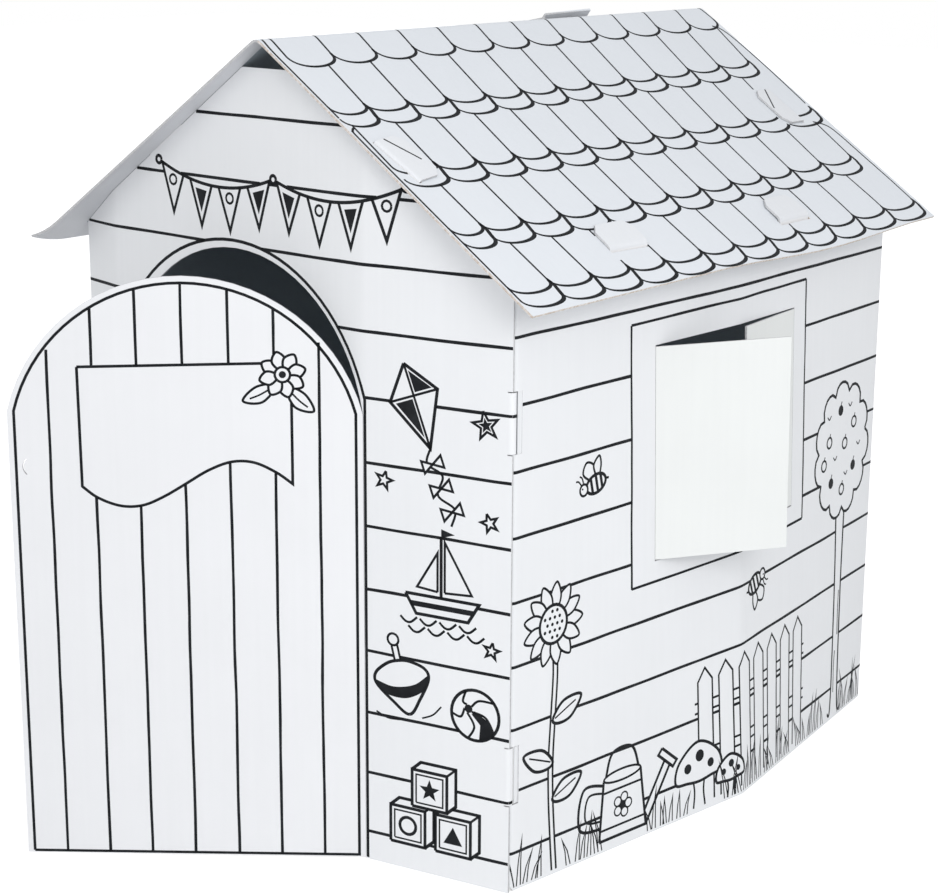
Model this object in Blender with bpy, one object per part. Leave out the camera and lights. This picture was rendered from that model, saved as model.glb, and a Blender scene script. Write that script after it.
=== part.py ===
# A play house of white corrugated card, die cut flat, folded, and slotted together.
# Two folded wall sheets lock at two corners, one folded roof sheet lies on them,
# and a door and two window shutters swing on scored hinge lines.
# Metres, +Z up. The walls stand on Z = 0 and the door faces -Y. The pieces are drawn
# with X = 0 under the ridge and Y = 0 half way along the side walls. The whole house
# then moves in plan, until the middle of its box, open door and shutter included, lies
# over the origin.

import math

import bmesh
import bpy
from mathutils import Vector

# The card
sheet_thickness = 0.003
fold_reach = 0.007          # how far each side of a score line the card curves
fold_steps = 4              # flat strips across one fold
sharp_angle = 25.0          # degrees between faces from which an edge stays crisp
lap_gap = 0.0004            # between sheets that lie on each other
hinge_gap = 0.0006          # between a flap and the edge that it hangs on
cut_gap = 0.002             # between a flap's free edges and its opening
arch_steps = 28

# The front wall, from its right corner to its left one
margin_width = 0.2074       # right corner to the score line at the door's hinge
door_width = 0.439
leg_margin = 0.0155         # door opening to the score line beside it
strip_width = 0.079         # that score line to the left corner
margin_heading = -9.0       # degrees from -X, towards the inside of the house
door_wall_heading = 3.0
strip_heading = 14.4

# The side walls
side_depth = 0.8925         # front corner to back corner, along Y
side_front_part = 0.471     # front corner to the score line up the wall's middle
side_front_heading = 2.58   # degrees outwards from +Y
foot_bulge_out = 0.050      # how far the score line's foot stands out past its top
foot_bulge_forward = 0.022
side_back_inset = 0.018     # how far the back corner lies outside the front one
side_top_gap = 0.006        # side wall's top edge below the roof sheet
side_levels = 12            # bands up the twisted side wall
side_uprights = 5           # bands along each half of it

# The door
door_spring = 0.591         # height of the leaf where its arch starts
door_rise = 0.170           # height of the arch above that
door_floor_gap = 0.002
door_head_gap = 0.012       # opening's arch above the leaf's arch
door_rest_angle = 39.6
finger_cut_height = 0.52
finger_cut_length = 0.020
finger_cut_inset = 0.022
finger_cut_width = 0.0014
finger_cut_bow = 0.0045
finger_cut_steps = 6

# The window in the right side wall
window_front = 0.2787       # from the front corner, along the card
window_width = 0.340
window_sill = 0.3728
window_height = 0.2837
window_head_margin = 0.1099  # card left above the opening, to the side wall's top edge
front_shutter_width = 0.186
front_shutter_rest_angle = 33.0
rear_shutter_rest_angle = 3.0

# The corner locks
flange_width = 0.045
flange_end_inset = 0.014
tab_height = 0.075
lower_tab_height = 0.155    # its middle above the floor
upper_tab_drop = 0.1624     # its middle below the side wall's top edge
tab_reach = 0.0075          # score line to the tab's second bend
tab_tip = 0.018             # second bend to the tab's end
tab_wall_run = 0.044        # length of wall that a tab's path follows before its corner
tab_bend = 0.005
tab_tip_bend = 0.0024
tab_turn = 45.0
slit_width = 0.0015
slot_slack = 0.001
slot_before = 0.010         # slot's reach into the flange
slot_after = 0.015          # slot's reach into the side wall

# The roof
roof_pitch = 34.75
ridge_offset = 0.013        # ridge to the right of the front wall's middle
eave_overhang = 0.0515
front_overhang = 0.0505
back_overhang = 0.068
roof_gap = 0.0006           # roof sheet above the gables' sloping edges
gable_top_drop = 0.036      # flat top of a gable below the ridge's underside
ridge_fold_reach = 0.010
eave_sag = 0.008
eave_sag_place = 0.20
eave_sag_length = 0.27
eave_sag_depth = 0.11
corner_curl = 0.010
corner_curl_size = 0.055
roof_bands = 14             # along the ridge
eave_bands = 4              # across the sagging eave
curl_bands = 4              # each way across the curled corner

# The walls' tabs that come up through slits in the roof and lie folded on it
gable_tab_top = 0.203       # ridge to the tab's upper end, down the slope
gable_tab_width = 0.075
gable_tab_reach = 0.049     # fold to the tab's free edge
eave_tab_places = (-0.222, 0.171)   # the tabs' middles, along Y
eave_tab_width = 0.078
eave_tab_reach = 0.040
roof_tab_bend = 0.005
roof_tab_corner = 0.012     # cut off each corner of the tab
roof_tab_lift = 0.0006      # tab's underside above the roof
slit_slack = 0.0010

# The tongues cut in the roof at the ridge
kerf = 0.0012
ridge_tongue_top = 0.030
ridge_tongue_length = 0.075
ridge_tongue_start = 0.014
ridge_tongue_land = 0.003   # card left between the two
ridge_tongue_widths = (0.132, 0.117)
ridge_tongue_lifts = ((0.006, 0.017), (0.023, 0.026))

snap = 0.00001
gable_samples = 400         # places tried for where a slope meets the gable's flat top


def clear_scene():
    for old in list(bpy.data.objects):
        bpy.data.objects.remove(old, do_unlink=True)


def card_material(name, colour, roughness):
    material = bpy.data.materials.new(name)
    material.use_nodes = True
    shader = material.node_tree.nodes["Principled BSDF"]
    shader.inputs["Base Color"].default_value = (*colour, 1.0)
    shader.inputs["Roughness"].default_value = roughness
    shader.inputs["Metallic"].default_value = 0.0
    return material


def heading_vector(start, degrees, turn):
    # A unit vector in plan, turned from start; turn is 1 for left and -1 for right
    angle = math.radians(degrees) * turn
    return Vector((start.x * math.cos(angle) - start.y * math.sin(angle),
                   start.x * math.sin(angle) + start.y * math.cos(angle)))


class FoldedStrip:
    # A strip of card that follows a path of straight runs with a curved fold at each corner.
    # The path is that of the card's outer face. It may have another course at the foot than
    # at the height where the roof holds it. outer_side is 1 where the outside lies to the
    # left of the path, and -1 where it lies to the right.

    def __init__(self, places, points, outer_side, foot_points=None, held_height=1.0, reach=fold_reach):
        self.places = places
        self.points = points
        self.foot_points = foot_points or points
        self.outer_side = outer_side
        self.held_height = held_height
        self.reaches = [reach] * len(places)

    def path_at(self, height):
        share = 1.0 - height / self.held_height
        return [top.lerp(foot, share) for top, foot in zip(self.points, self.foot_points)]

    def run_of(self, place):
        last = len(self.places) - 2
        for index in range(last):
            if place < self.places[index + 1]:
                return index
        return last

    def on_run(self, path, index, place):
        share = (place - self.places[index]) / (self.places[index + 1] - self.places[index])
        return path[index] + (path[index + 1] - path[index]) * share

    def outline_at(self, place, height):
        # The outer face's point and its direction of travel, both in plan
        path = self.path_at(height)
        index = self.run_of(place)
        point = self.on_run(path, index, place)
        travel = path[index + 1] - path[index]
        for fold in range(1, len(self.places) - 1):
            reach = self.reaches[fold]
            if abs(place - self.places[fold]) < reach:
                before = self.on_run(path, fold - 1, self.places[fold] - reach)
                after = self.on_run(path, fold, self.places[fold] + reach)
                share = (place - self.places[fold] + reach) / (2.0 * reach)
                corner = path[fold]
                point = (before * (1.0 - share) ** 2 + corner * (2.0 * share * (1.0 - share))
                         + after * share ** 2)
                travel = (corner - before) * (1.0 - share) + (after - corner) * share
        return point, travel.normalized()

    def place_point(self, place, depth, height):
        point, travel = self.outline_at(place, height)
        outward = Vector((-travel.y, travel.x)) * self.outer_side
        return point - outward * depth

    def fold_lines(self):
        lines = []
        for fold in range(1, len(self.places) - 1):
            reach = self.reaches[fold]
            for step in range(fold_steps + 1):
                lines.append(self.places[fold] + reach * (2.0 * step / fold_steps - 1.0))
        return lines


def fill_outline(mesh, loops):
    # A flat sheet in X and Z, with holes, from closed loops of (x, z) points
    for loop in loops:
        corners = [mesh.verts.new((x, 0.0, z)) for x, z in loop]
        for index, corner in enumerate(corners):
            mesh.edges.new((corner, corners[(index + 1) % len(corners)]))
    bmesh.ops.triangle_fill(mesh, use_beauty=True, edges=mesh.edges[:], normal=(0.0, -1.0, 0.0))


def card_slab(loops, upright_cuts, level_cuts, roof_tabs=()):
    # The die cut sheet, still flat: X along it, Y into its thickness, Z up
    mesh = bmesh.new()
    fill_outline(mesh, loops)
    for tab in roof_tabs:
        cut_tab_bends(mesh, tab)
    for place in upright_cuts:
        cut_all(mesh, (place, 0.0, 0.0), (1.0, 0.0, 0.0))
    for height in level_cuts:
        cut_all(mesh, (0.0, 0.0, height), (0.0, 0.0, 1.0))
    grown = bmesh.ops.extrude_face_region(mesh, geom=mesh.faces[:])
    inner = [item for item in grown["geom"] if isinstance(item, bmesh.types.BMVert)]
    bmesh.ops.translate(mesh, verts=inner, vec=(0.0, sheet_thickness, 0.0))
    return mesh


def cut_all(mesh, point, normal):
    everything = mesh.verts[:] + mesh.edges[:] + mesh.faces[:]
    bmesh.ops.bisect_plane(mesh, geom=everything, dist=snap, plane_co=point, plane_no=normal)


def finish_object(name, mesh, material, origin=Vector((0.0, 0.0, 0.0))):
    bmesh.ops.translate(mesh, verts=mesh.verts[:], vec=-origin)
    bmesh.ops.remove_doubles(mesh, verts=mesh.verts[:], dist=snap)
    bmesh.ops.triangulate(mesh, faces=mesh.faces[:])
    bmesh.ops.recalc_face_normals(mesh, faces=mesh.faces[:])
    data = bpy.data.meshes.new(name)
    mesh.to_mesh(data)
    mesh.free()
    data.materials.append(material)
    data.shade_smooth()
    data.set_sharp_from_angle(angle=math.radians(sharp_angle))
    piece = bpy.data.objects.new(name, data)
    piece.location = origin
    bpy.context.scene.collection.objects.link(piece)
    return piece


def steps_between(start, end, count):
    return [start + (end - start) * index / count for index in range(1, count)]


def box_loop(x_low, x_high, z_low, z_high):
    return [(x_low, z_low), (x_high, z_low), (x_high, z_high), (x_low, z_high)]


# Corners in plan, all from the driving dimensions
to_left = Vector((-1.0, 0.0))
to_back = Vector((0.0, 1.0))
to_right = Vector((1.0, 0.0))
hinge_line = margin_width
opening_width = hinge_gap + door_width + cut_gap
leg_line = hinge_line + opening_width + leg_margin
left_corner_line = leg_line + strip_width
back_width = left_corner_line
margin_way = heading_vector(to_left, margin_heading, -1)
door_wall_way = heading_vector(to_left, door_wall_heading, -1)
strip_way = heading_vector(to_left, strip_heading, -1)
front_chain = [Vector((0.0, 0.0))]
front_chain.append(front_chain[-1] + margin_way * margin_width)
front_chain.append(front_chain[-1] + door_wall_way * (leg_line - hinge_line))
front_chain.append(front_chain[-1] + strip_way * strip_width)
half_front = -front_chain[-1].x / 2.0
front_right = Vector((half_front - ridge_offset, -side_depth / 2.0))
front_chain = [front_right + step for step in front_chain]
front_left = front_chain[-1]
back_right = front_right + Vector((side_back_inset, side_depth))
back_left = back_right + to_left * back_width
side_front_way = heading_vector(to_back, side_front_heading, -1)
side_middle = front_right + side_front_way * side_front_part
side_middle_foot = side_middle + Vector((foot_bulge_out, -foot_bulge_forward))

# The roof's section
pitch = math.radians(roof_pitch)
roof_half = half_front + eave_overhang
slope_width = roof_half / math.cos(pitch)
roof_front = front_right.y - front_overhang
roof_back = back_right.y + back_overhang
sheet_drop = sheet_thickness / math.cos(pitch)
outermost = max(front_right.x, side_middle.x, back_right.x, -front_left.x, -back_left.x)
side_top = window_sill + window_height + window_head_margin
ridge_height = side_top + side_top_gap + outermost * math.tan(pitch) + sheet_drop
tab_centres = (lower_tab_height, side_top - upper_tab_drop)


def roof_underside(x):
    return ridge_height - abs(x) * math.tan(pitch) - sheet_drop


gable_top = ridge_height - sheet_drop - gable_top_drop

# The two wall sheets as folded strips; places run along the card from the front right corner
front_inward = Vector((margin_way.y, -margin_way.x))
fold_front_right = front_right + front_inward * (sheet_thickness + lap_gap)
fold_back_left = back_left - to_back * (sheet_thickness + lap_gap)
left_length = (fold_back_left - front_left).length
door_sheet_places = [0.0, hinge_line, leg_line, left_corner_line]
door_sheet_places.append(left_corner_line + left_length)
door_sheet_places.append(door_sheet_places[-1] + flange_width)
door_sheet_points = front_chain + [fold_back_left, fold_back_left + to_right * flange_width]
door_sheet = FoldedStrip(door_sheet_places, door_sheet_points, 1)

middle_line = (side_middle - fold_front_right).length
back_corner_line = middle_line + (back_right - side_middle).length
back_edge_line = back_corner_line + back_width
window_sheet_places = [-flange_width, 0.0, middle_line, back_corner_line, back_edge_line]
flange_end = fold_front_right + margin_way * flange_width
window_sheet_points = [flange_end, fold_front_right, side_middle, back_right, back_left]
window_sheet_foot = [flange_end, fold_front_right, side_middle_foot, back_right, back_left]
window_sheet = FoldedStrip(window_sheet_places, window_sheet_points, -1, window_sheet_foot, side_top)


def tab_strip(corner, along_wall, past_corner, outer_side, corner_place, wall_sense):
    # The bent path of a corner tab: round the corner, then inwards through the slot
    inwards = heading_vector(past_corner, tab_turn, outer_side * wall_sense)
    second = corner + past_corner * tab_reach
    end = second + inwards * tab_tip
    on_wall = corner + along_wall * tab_wall_run
    points = [end, second, corner, on_wall]
    places = [corner_place - wall_sense * (tab_reach + tab_tip), corner_place - wall_sense * tab_reach,
              corner_place, corner_place + wall_sense * tab_wall_run]
    if wall_sense < 0:
        points.reverse()
        places.reverse()
    strip = FoldedStrip(places, points, outer_side, reach=tab_bend)
    strip.reaches[1 if wall_sense > 0 else 2] = tab_tip_bend
    return strip


front_tabs = tab_strip(front_right, margin_way, side_front_way, 1, 0.0, 1)
left_back_way = (front_left - fold_back_left).normalized()
back_tabs = tab_strip(back_left, to_right, left_back_way, -1, back_edge_line, -1)


def tabbed_edge(edge_place, inward_sense, low, high):
    # The outline points along a gable's free edge, upwards, with a tab between two slits
    root = edge_place + inward_sense * fold_reach
    tip = edge_place - inward_sense * (tab_reach + tab_tip)
    points = [(edge_place, low)]
    for centre in tab_centres:
        below = centre - tab_height / 2.0
        above = centre + tab_height / 2.0
        points.append((edge_place, below - slit_width))
        points.append((root, below - slit_width))
        points.append((root, below))
        points.append((tip, below))
        points.append((tip, above))
        points.append((root, above))
        points.append((root, above + slit_width))
        points.append((edge_place, above + slit_width))
    points.append((edge_place, high))
    return points


def slot_loops(fold_place, flange_sense):
    # Slots through a corner fold, one for each tab
    loops = []
    flange_side = fold_place + flange_sense * slot_before
    wall_side = fold_place - flange_sense * slot_after
    for centre in tab_centres:
        below = centre - tab_height / 2.0 - slot_slack
        above = centre + tab_height / 2.0 + slot_slack
        loops.append(box_loop(min(flange_side, wall_side), max(flange_side, wall_side), below, above))
    return loops


def gable_height(strip, place):
    point = strip.outline_at(place, side_top)[0]
    return roof_underside(point.x) - roof_gap


def gable_outline(strip, start, end):
    # Points up one slope, across the flat top and down the other, with one where each fold bends
    sense = 1.0 if end > start else -1.0
    step = (end - start) / gable_samples
    places = [(start, gable_height(strip, start))]
    for index in range(gable_samples):
        low_place = start + step * index
        low = gable_height(strip, low_place)
        high = gable_height(strip, low_place + step)
        if (low - gable_top) * (high - gable_top) < 0.0:
            share = (gable_top - low) / (high - low)
            places.append((low_place + step * share, gable_top))
    for place in strip.fold_lines():
        height = gable_height(strip, place)
        between = min(start, end) + snap < place < max(start, end) - snap
        if between and height < gable_top:
            places.append((place, height))
    places.append((end, gable_height(strip, end)))
    return sorted(places, key=lambda item: item[0] * sense)


def arch_points(centre, half_width, spring, rise):
    # A circle's arc from the right springing over the top to the left one
    radius = (half_width ** 2 + rise ** 2) / (2.0 * rise)
    middle = spring + rise - radius
    sweep = math.asin(half_width / radius)
    points = []
    for index in range(arch_steps + 1):
        angle = sweep * (1.0 - 2.0 * index / arch_steps)
        points.append((centre - radius * math.sin(angle), middle + radius * math.cos(angle)))
    return points


class RoofTab:
    # A tab on a wall sheet's top edge. It rises through the roof's slit and lies on the roof.
    # Its root joins two (place, height) points of the flat sheet.

    def __init__(self, strip, root_start, root_end, reach):
        self.root = Vector(root_start)
        self.way = Vector(root_end) - self.root
        self.width = self.way.length
        self.way.normalize()
        self.up = Vector((-self.way.y, self.way.x))
        if self.up.y < 0.0:
            self.up = -self.up
        start = self.on_wall(strip, root_start)
        end = self.on_wall(strip, root_end)
        middle = (Vector(root_start) + Vector(root_end)) / 2.0
        travel = strip.outline_at(middle.x, middle.y)[1]
        outward = Vector((-travel.y, travel.x, 0.0)) * strip.outer_side
        self.start = start
        self.axis = (end - start).normalized()
        self.rise = self.axis.cross(outward).normalized()
        self.turn_sense = -1.0
        if self.rise.z < 0.0:
            self.rise = -self.rise
            self.turn_sense = 1.0
        side = 1.0 if start.x > 0.0 else -1.0
        self.roof_out = Vector((side * math.sin(pitch), 0.0, math.cos(pitch)))
        self.down_slope = Vector((side * math.cos(pitch), 0.0, -math.sin(pitch)))
        self.side = side
        self.lie = self.roof_out.cross(self.axis).normalized()
        if self.lie.dot(outward) > 0.0:
            self.lie = -self.lie
        ridge_point = Vector((0.0, start.y, ridge_height))
        to_roof = max((ridge_point - spot).dot(self.roof_out) for spot in (start, end))
        self.climb = (to_roof + roof_tab_lift + sheet_thickness) / self.rise.dot(self.roof_out)
        self.length = self.climb + reach

    def on_wall(self, strip, spot):
        point = strip.outline_at(spot[0], spot[1])[0]
        return Vector((point.x, point.y, spot[1]))

    def flat(self, along, above):
        spot = self.root + self.way * along + self.up * above
        return (spot.x, spot.y)

    def corners(self):
        # The tab's outline on the flat sheet, from its root's start to its end
        return [self.flat(0.0, 0.0), self.flat(0.0, self.length - roof_tab_corner),
                self.flat(roof_tab_corner, self.length),
                self.flat(self.width - roof_tab_corner, self.length),
                self.flat(self.width, self.length - roof_tab_corner), self.flat(self.width, 0.0)]

    def bend_lines(self):
        return [self.climb + roof_tab_bend * (2.0 * step / fold_steps - 1.0)
                for step in range(fold_steps + 1)]

    def spot_of(self, place, height):
        offset = Vector((place, height)) - self.root
        return offset.dot(self.way), offset.dot(self.up)

    def holds(self, place, height, slack=snap):
        along, above = self.spot_of(place, height)
        return -slack < along < self.width + slack and -slack < above < self.length + slack

    def folded(self, along, above, depth):
        root = self.start + self.axis * along
        corner = root + self.rise * self.climb
        past = above - self.climb
        if past < -roof_tab_bend:
            point = root + self.rise * above
            travel = self.rise
        elif past > roof_tab_bend:
            point = corner + self.lie * past
            travel = self.lie
        else:
            share = (past + roof_tab_bend) / (2.0 * roof_tab_bend)
            before = corner - self.rise * roof_tab_bend
            after = corner + self.lie * roof_tab_bend
            point = (before * (1.0 - share) ** 2 + corner * (2.0 * share * (1.0 - share))
                     + after * share ** 2)
            travel = (self.rise * (1.0 - share) + self.lie * share).normalized()
        outward = self.axis.cross(travel) * self.turn_sense
        return point - outward * depth

    def slit_loop(self):
        # The slit that the tab needs in the roof, as (across, along) points of the roof sheet
        spread = []
        steps = 60
        for index in range(steps + 1):
            above = (self.climb + roof_tab_bend) * index / steps
            for depth in (0.0, sheet_thickness):
                offset = self.folded(0.0, above, depth) - self.start
                level = self.start + offset - Vector((0.0, self.start.y, ridge_height))
                height = level.dot(self.roof_out)
                if -sheet_thickness - slit_slack < height < roof_tab_lift / 2.0:
                    spread.append(offset.dot(self.lie))
        near = min(spread) - slit_slack
        far = max(spread) + slit_slack
        corners = []
        for along, across in ((-slit_slack, near), (self.width + slit_slack, near),
                              (self.width + slit_slack, far), (-slit_slack, far)):
            spot = self.start + self.axis * along + self.lie * across
            slope_place = (spot - Vector((0.0, 0.0, ridge_height))).dot(self.down_slope)
            corners.append((slope_place * self.side, spot.y))
        return corners


def place_at(strip, index, axis, value):
    # The place on one straight run of a sheet where its X or Y has the given value
    start = strip.points[index][axis]
    end = strip.points[index + 1][axis]
    share = (value - start) / (end - start)
    return strip.places[index] + (strip.places[index + 1] - strip.places[index]) * share


def gable_tab(strip, index, side):
    ends = []
    for across in (gable_tab_top, gable_tab_top + gable_tab_width):
        place = place_at(strip, index, 0, side * across * math.cos(pitch))
        ends.append((place, gable_height(strip, place)))
    return RoofTab(strip, ends[0], ends[1], gable_tab_reach)


def eave_tab(strip, index, middle):
    ends = []
    for along in (middle - eave_tab_width / 2.0, middle + eave_tab_width / 2.0):
        ends.append((place_at(strip, index, 1, along), side_top))
    return RoofTab(strip, ends[0], ends[1], eave_tab_reach)


def with_tab(outline, tab):
    # The outline with the tab's corners put in where its root lies
    for index, start in enumerate(outline):
        first = Vector(start)
        run = Vector(outline[(index + 1) % len(outline)]) - first
        if run.length < tab.width:
            continue
        way = run.normalized()
        shares = []
        for spot in (tab.flat(0.0, 0.0), tab.flat(tab.width, 0.0)):
            offset = Vector(spot) - first
            off_line = abs(offset.x * way.y - offset.y * way.x)
            if off_line < snap * 10.0 and 0.0 < offset.dot(way) < run.length:
                shares.append(offset.dot(way))
        if len(shares) == 2:
            corners = tab.corners()
            if shares[0] > shares[1]:
                corners.reverse()
            return outline[:index + 1] + corners + outline[index + 1:]
    raise ValueError("a roof tab's root lies on no edge of its sheet")


door_sheet_tabs = [gable_tab(door_sheet, 0, 1.0), gable_tab(door_sheet, 1, -1.0)]
door_sheet_tabs += [eave_tab(door_sheet, 3, middle) for middle in eave_tab_places]
window_sheet_tabs = [gable_tab(window_sheet, 3, 1.0), gable_tab(window_sheet, 3, -1.0)]
window_sheet_tabs += [eave_tab(window_sheet, 1, eave_tab_places[0]),
                      eave_tab(window_sheet, 2, eave_tab_places[1])]


def cut_tab_bends(mesh, tab):
    # Split the flat sheet at the tab's root, and then the tab alone at its bend
    ends = []
    for spot in (tab.flat(0.0, 0.0), tab.flat(tab.width, 0.0)):
        ends.append(min(mesh.verts, key=lambda corner: math.hypot(corner.co.x - spot[0],
                                                                  corner.co.z - spot[1])))
    bmesh.ops.connect_vert_pair(mesh, verts=ends)
    for above in tab.bend_lines():
        faces = [face for face in mesh.faces
                 if all(tab.holds(corner.co.x, corner.co.z) for corner in face.verts)]
        pieces = set(faces)
        for face in faces:
            pieces.update(face.edges)
            pieces.update(face.verts)
        spot = tab.flat(0.0, above)
        bmesh.ops.bisect_plane(mesh, geom=list(pieces), dist=snap, plane_co=(spot[0], 0.0, spot[1]),
                               plane_no=(tab.up.x, 0.0, tab.up.y))


def shaped_strip(name, strip, loops, level_cuts, extra_cuts, material, tabs, tab_edge, tab_sense,
                 roof_tabs):
    # Fold a flat sheet along its strip, sending the tabs' corners along their own paths
    cuts = strip.fold_lines() + extra_cuts + tabs.fold_lines()
    mesh = card_slab(loops, cuts, level_cuts, roof_tabs)
    for corner in mesh.verts:
        place, depth, height = corner.co
        in_tab = any(abs(height - centre) < tab_height / 2.0 + snap for centre in tab_centres)
        near_edge = (place - tab_edge) * tab_sense < fold_reach + snap
        path = tabs if in_tab and near_edge else strip
        point = path.place_point(place, depth, height)
        corner.co = (point.x, point.y, height)
        for tab in roof_tabs:
            along, above = tab.spot_of(place, height)
            if above > snap * 10.0 and tab.holds(place, height):
                corner.co = tab.folded(along, above, depth)
    return finish_object(name, mesh, material)


def build_door_sheet(material):
    # Front wall with the doorway, left side wall, and a flange behind the back wall
    places = door_sheet_places
    doorway_end = hinge_line + opening_width
    doorway_middle = hinge_line + opening_width / 2.0
    arch = arch_points(doorway_middle, opening_width / 2.0, door_spring, door_rise + door_head_gap)
    arch = [(max(hinge_line, min(doorway_end, x)), z) for x, z in arch]
    outline = tabbed_edge(0.0, 1, 0.0, gable_height(door_sheet, 0.0))
    outline += gable_outline(door_sheet, 0.0, left_corner_line)[1:]
    outline += [(left_corner_line, side_top), (places[4] - fold_reach, side_top)]
    outline += [(places[4] + fold_reach, side_top - flange_end_inset)]
    outline += [(places[5], side_top - flange_end_inset * 2.0), (places[5], flange_end_inset * 2.0)]
    outline += [(places[4] + fold_reach, flange_end_inset), (places[4] - fold_reach, 0.0)]
    outline += [(doorway_end, 0.0)]
    outline += list(reversed(arch))
    outline += [(hinge_line, 0.0)]
    for tab in door_sheet_tabs:
        outline = with_tab(outline, tab)
    loops = [outline] + slot_loops(places[4], 1)
    return shaped_strip("front_and_left_walls", door_sheet, loops, [], [], material, front_tabs, 0.0, 1,
                        door_sheet_tabs)


def build_window_sheet(material):
    # Right side wall with the window, back wall, and a flange behind the front wall
    places = window_sheet_places
    outline = [(places[0], flange_end_inset * 2.0), (-fold_reach, flange_end_inset), (fold_reach, 0.0)]
    edge = tabbed_edge(back_edge_line, -1, 0.0, gable_height(window_sheet, back_edge_line))
    outline += edge
    outline += gable_outline(window_sheet, back_edge_line, back_corner_line)[1:]
    outline += [(back_corner_line, side_top), (fold_reach, side_top)]
    outline += [(-fold_reach, side_top - flange_end_inset)]
    outline += [(places[0], side_top - flange_end_inset * 2.0)]
    for tab in window_sheet_tabs:
        outline = with_tab(outline, tab)
    window = box_loop(window_front, window_front + window_width, window_sill, window_sill + window_height)
    loops = [outline, window] + slot_loops(0.0, -1)
    level_cuts = steps_between(0.0, side_top, side_levels)
    upright_cuts = steps_between(fold_reach, middle_line - fold_reach, side_uprights)
    upright_cuts += steps_between(middle_line + fold_reach, back_corner_line - fold_reach,
                                  side_uprights)
    return shaped_strip("right_and_back_walls", window_sheet, loops, level_cuts, upright_cuts,
                        material, back_tabs, back_edge_line, -1, window_sheet_tabs)


def hinged_flap(name, outlines, hinge_foot, axis, across, outward, angle, material):
    # A flat flap drawn as (across, up) points from its hinge, swung outwards about it
    normal = axis.cross(across)
    if normal.dot(outward) < 0.0:
        normal = -normal
    swing = math.radians(angle)
    swung_across = across * math.cos(swing) + normal * math.sin(swing)
    swung_normal = normal * math.cos(swing) - across * math.sin(swing)
    mesh = card_slab(outlines, [], [])
    for corner in mesh.verts:
        reach, depth, height = corner.co
        corner.co = hinge_foot + swung_across * reach - swung_normal * depth + axis * height
    return finish_object(name, mesh, material, hinge_foot)


def build_door(material):
    hinge = door_sheet.outline_at(hinge_line, 0.0)[0] + door_wall_way * hinge_gap
    foot = Vector((hinge.x, hinge.y, door_floor_gap))
    upright = Vector((0.0, 0.0, 1.0))
    spring = door_spring - door_floor_gap
    outline = [(0.0, 0.0)] + arch_points(door_width / 2.0, door_width / 2.0, spring, door_rise)
    outline = [(max(0.0, min(door_width, x)), z) for x, z in outline] + [(door_width, 0.0)]
    cut = finger_cut(door_width - finger_cut_inset, finger_cut_height - door_floor_gap)
    way = Vector((door_wall_way.x, door_wall_way.y, 0.0))
    outside = Vector((way.y, -way.x, 0.0)) * -1.0
    return hinged_flap("door", [outline, cut], foot, upright, way, outside, door_rest_angle, material)


def finger_cut(across, height):
    # A slim crescent, bowed towards the leaf's free edge
    half = finger_cut_length / 2.0
    outer = []
    inner = []
    for index in range(finger_cut_steps + 1):
        share = 2.0 * index / finger_cut_steps - 1.0
        edge = finger_cut_bow * (1.0 - share ** 2)
        outer.append((across + edge + finger_cut_width, height + half * share))
        inner.append((across + edge, height + half * share))
    return outer + list(reversed(inner))


def side_wall_point(place, height):
    point = window_sheet.outline_at(place, height)[0]
    return Vector((point.x, point.y, height))


def build_shutter(name, hinge_place, inward_sense, width, angle, material):
    # A window shutter hung on the opening's edge, with the closed flap's corners on the wall
    low = window_sill + cut_gap
    high = window_sill + window_height - cut_gap
    hinge_place += inward_sense * hinge_gap
    free_place = hinge_place + inward_sense * width
    foot = side_wall_point(hinge_place, low)
    axis = (side_wall_point(hinge_place, high) - foot).normalized()
    middle = (low + high) / 2.0
    into = side_wall_point(free_place, middle) - side_wall_point(hinge_place, middle)
    across = (into - axis * into.dot(axis)).normalized()
    outline = []
    for place, height in box_loop(hinge_place, free_place, low, high):
        corner = side_wall_point(place, height) - foot
        outline.append((corner.dot(across), corner.dot(axis)))
    return hinged_flap(name, [outline], foot, axis, across, Vector((1.0, 0.0, 0.0)), angle, material)


def tongue_list():
    # Each tongue as its hinge and free edge across the slope, its ends along Y, and its lifts
    tongues = []
    start = ridge_tongue_start
    for width, lifts in zip(ridge_tongue_widths, ridge_tongue_lifts):
        hinge = -ridge_tongue_top - ridge_tongue_length
        tongues.append((hinge, -ridge_tongue_top, start, start + width, lifts[0], lifts[1]))
        start += width + kerf * 2.0 + ridge_tongue_land
    return tongues


def kerf_loop(hinge, free, start, end):
    # The U-shaped saw line round a tongue, open at its hinge
    sense = 1.0 if free > hinge else -1.0
    beyond = free + sense * kerf
    return [(hinge, start - kerf), (beyond, start - kerf), (beyond, end + kerf), (hinge, end + kerf),
            (hinge, end), (free, end), (free, start), (hinge, start)]


def tongue_lift(tongue, across, along):
    hinge, free, start, end, lift_start, lift_end = tongue
    share = (across - hinge) / (free - hinge)
    inside = start - snap < along < end + snap
    if not inside or share < 0.0 or share > 1.0 + snap:
        return 0.0
    side_share = (along - start) / (end - start)
    return share * (lift_start + (lift_end - lift_start) * side_share)


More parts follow.
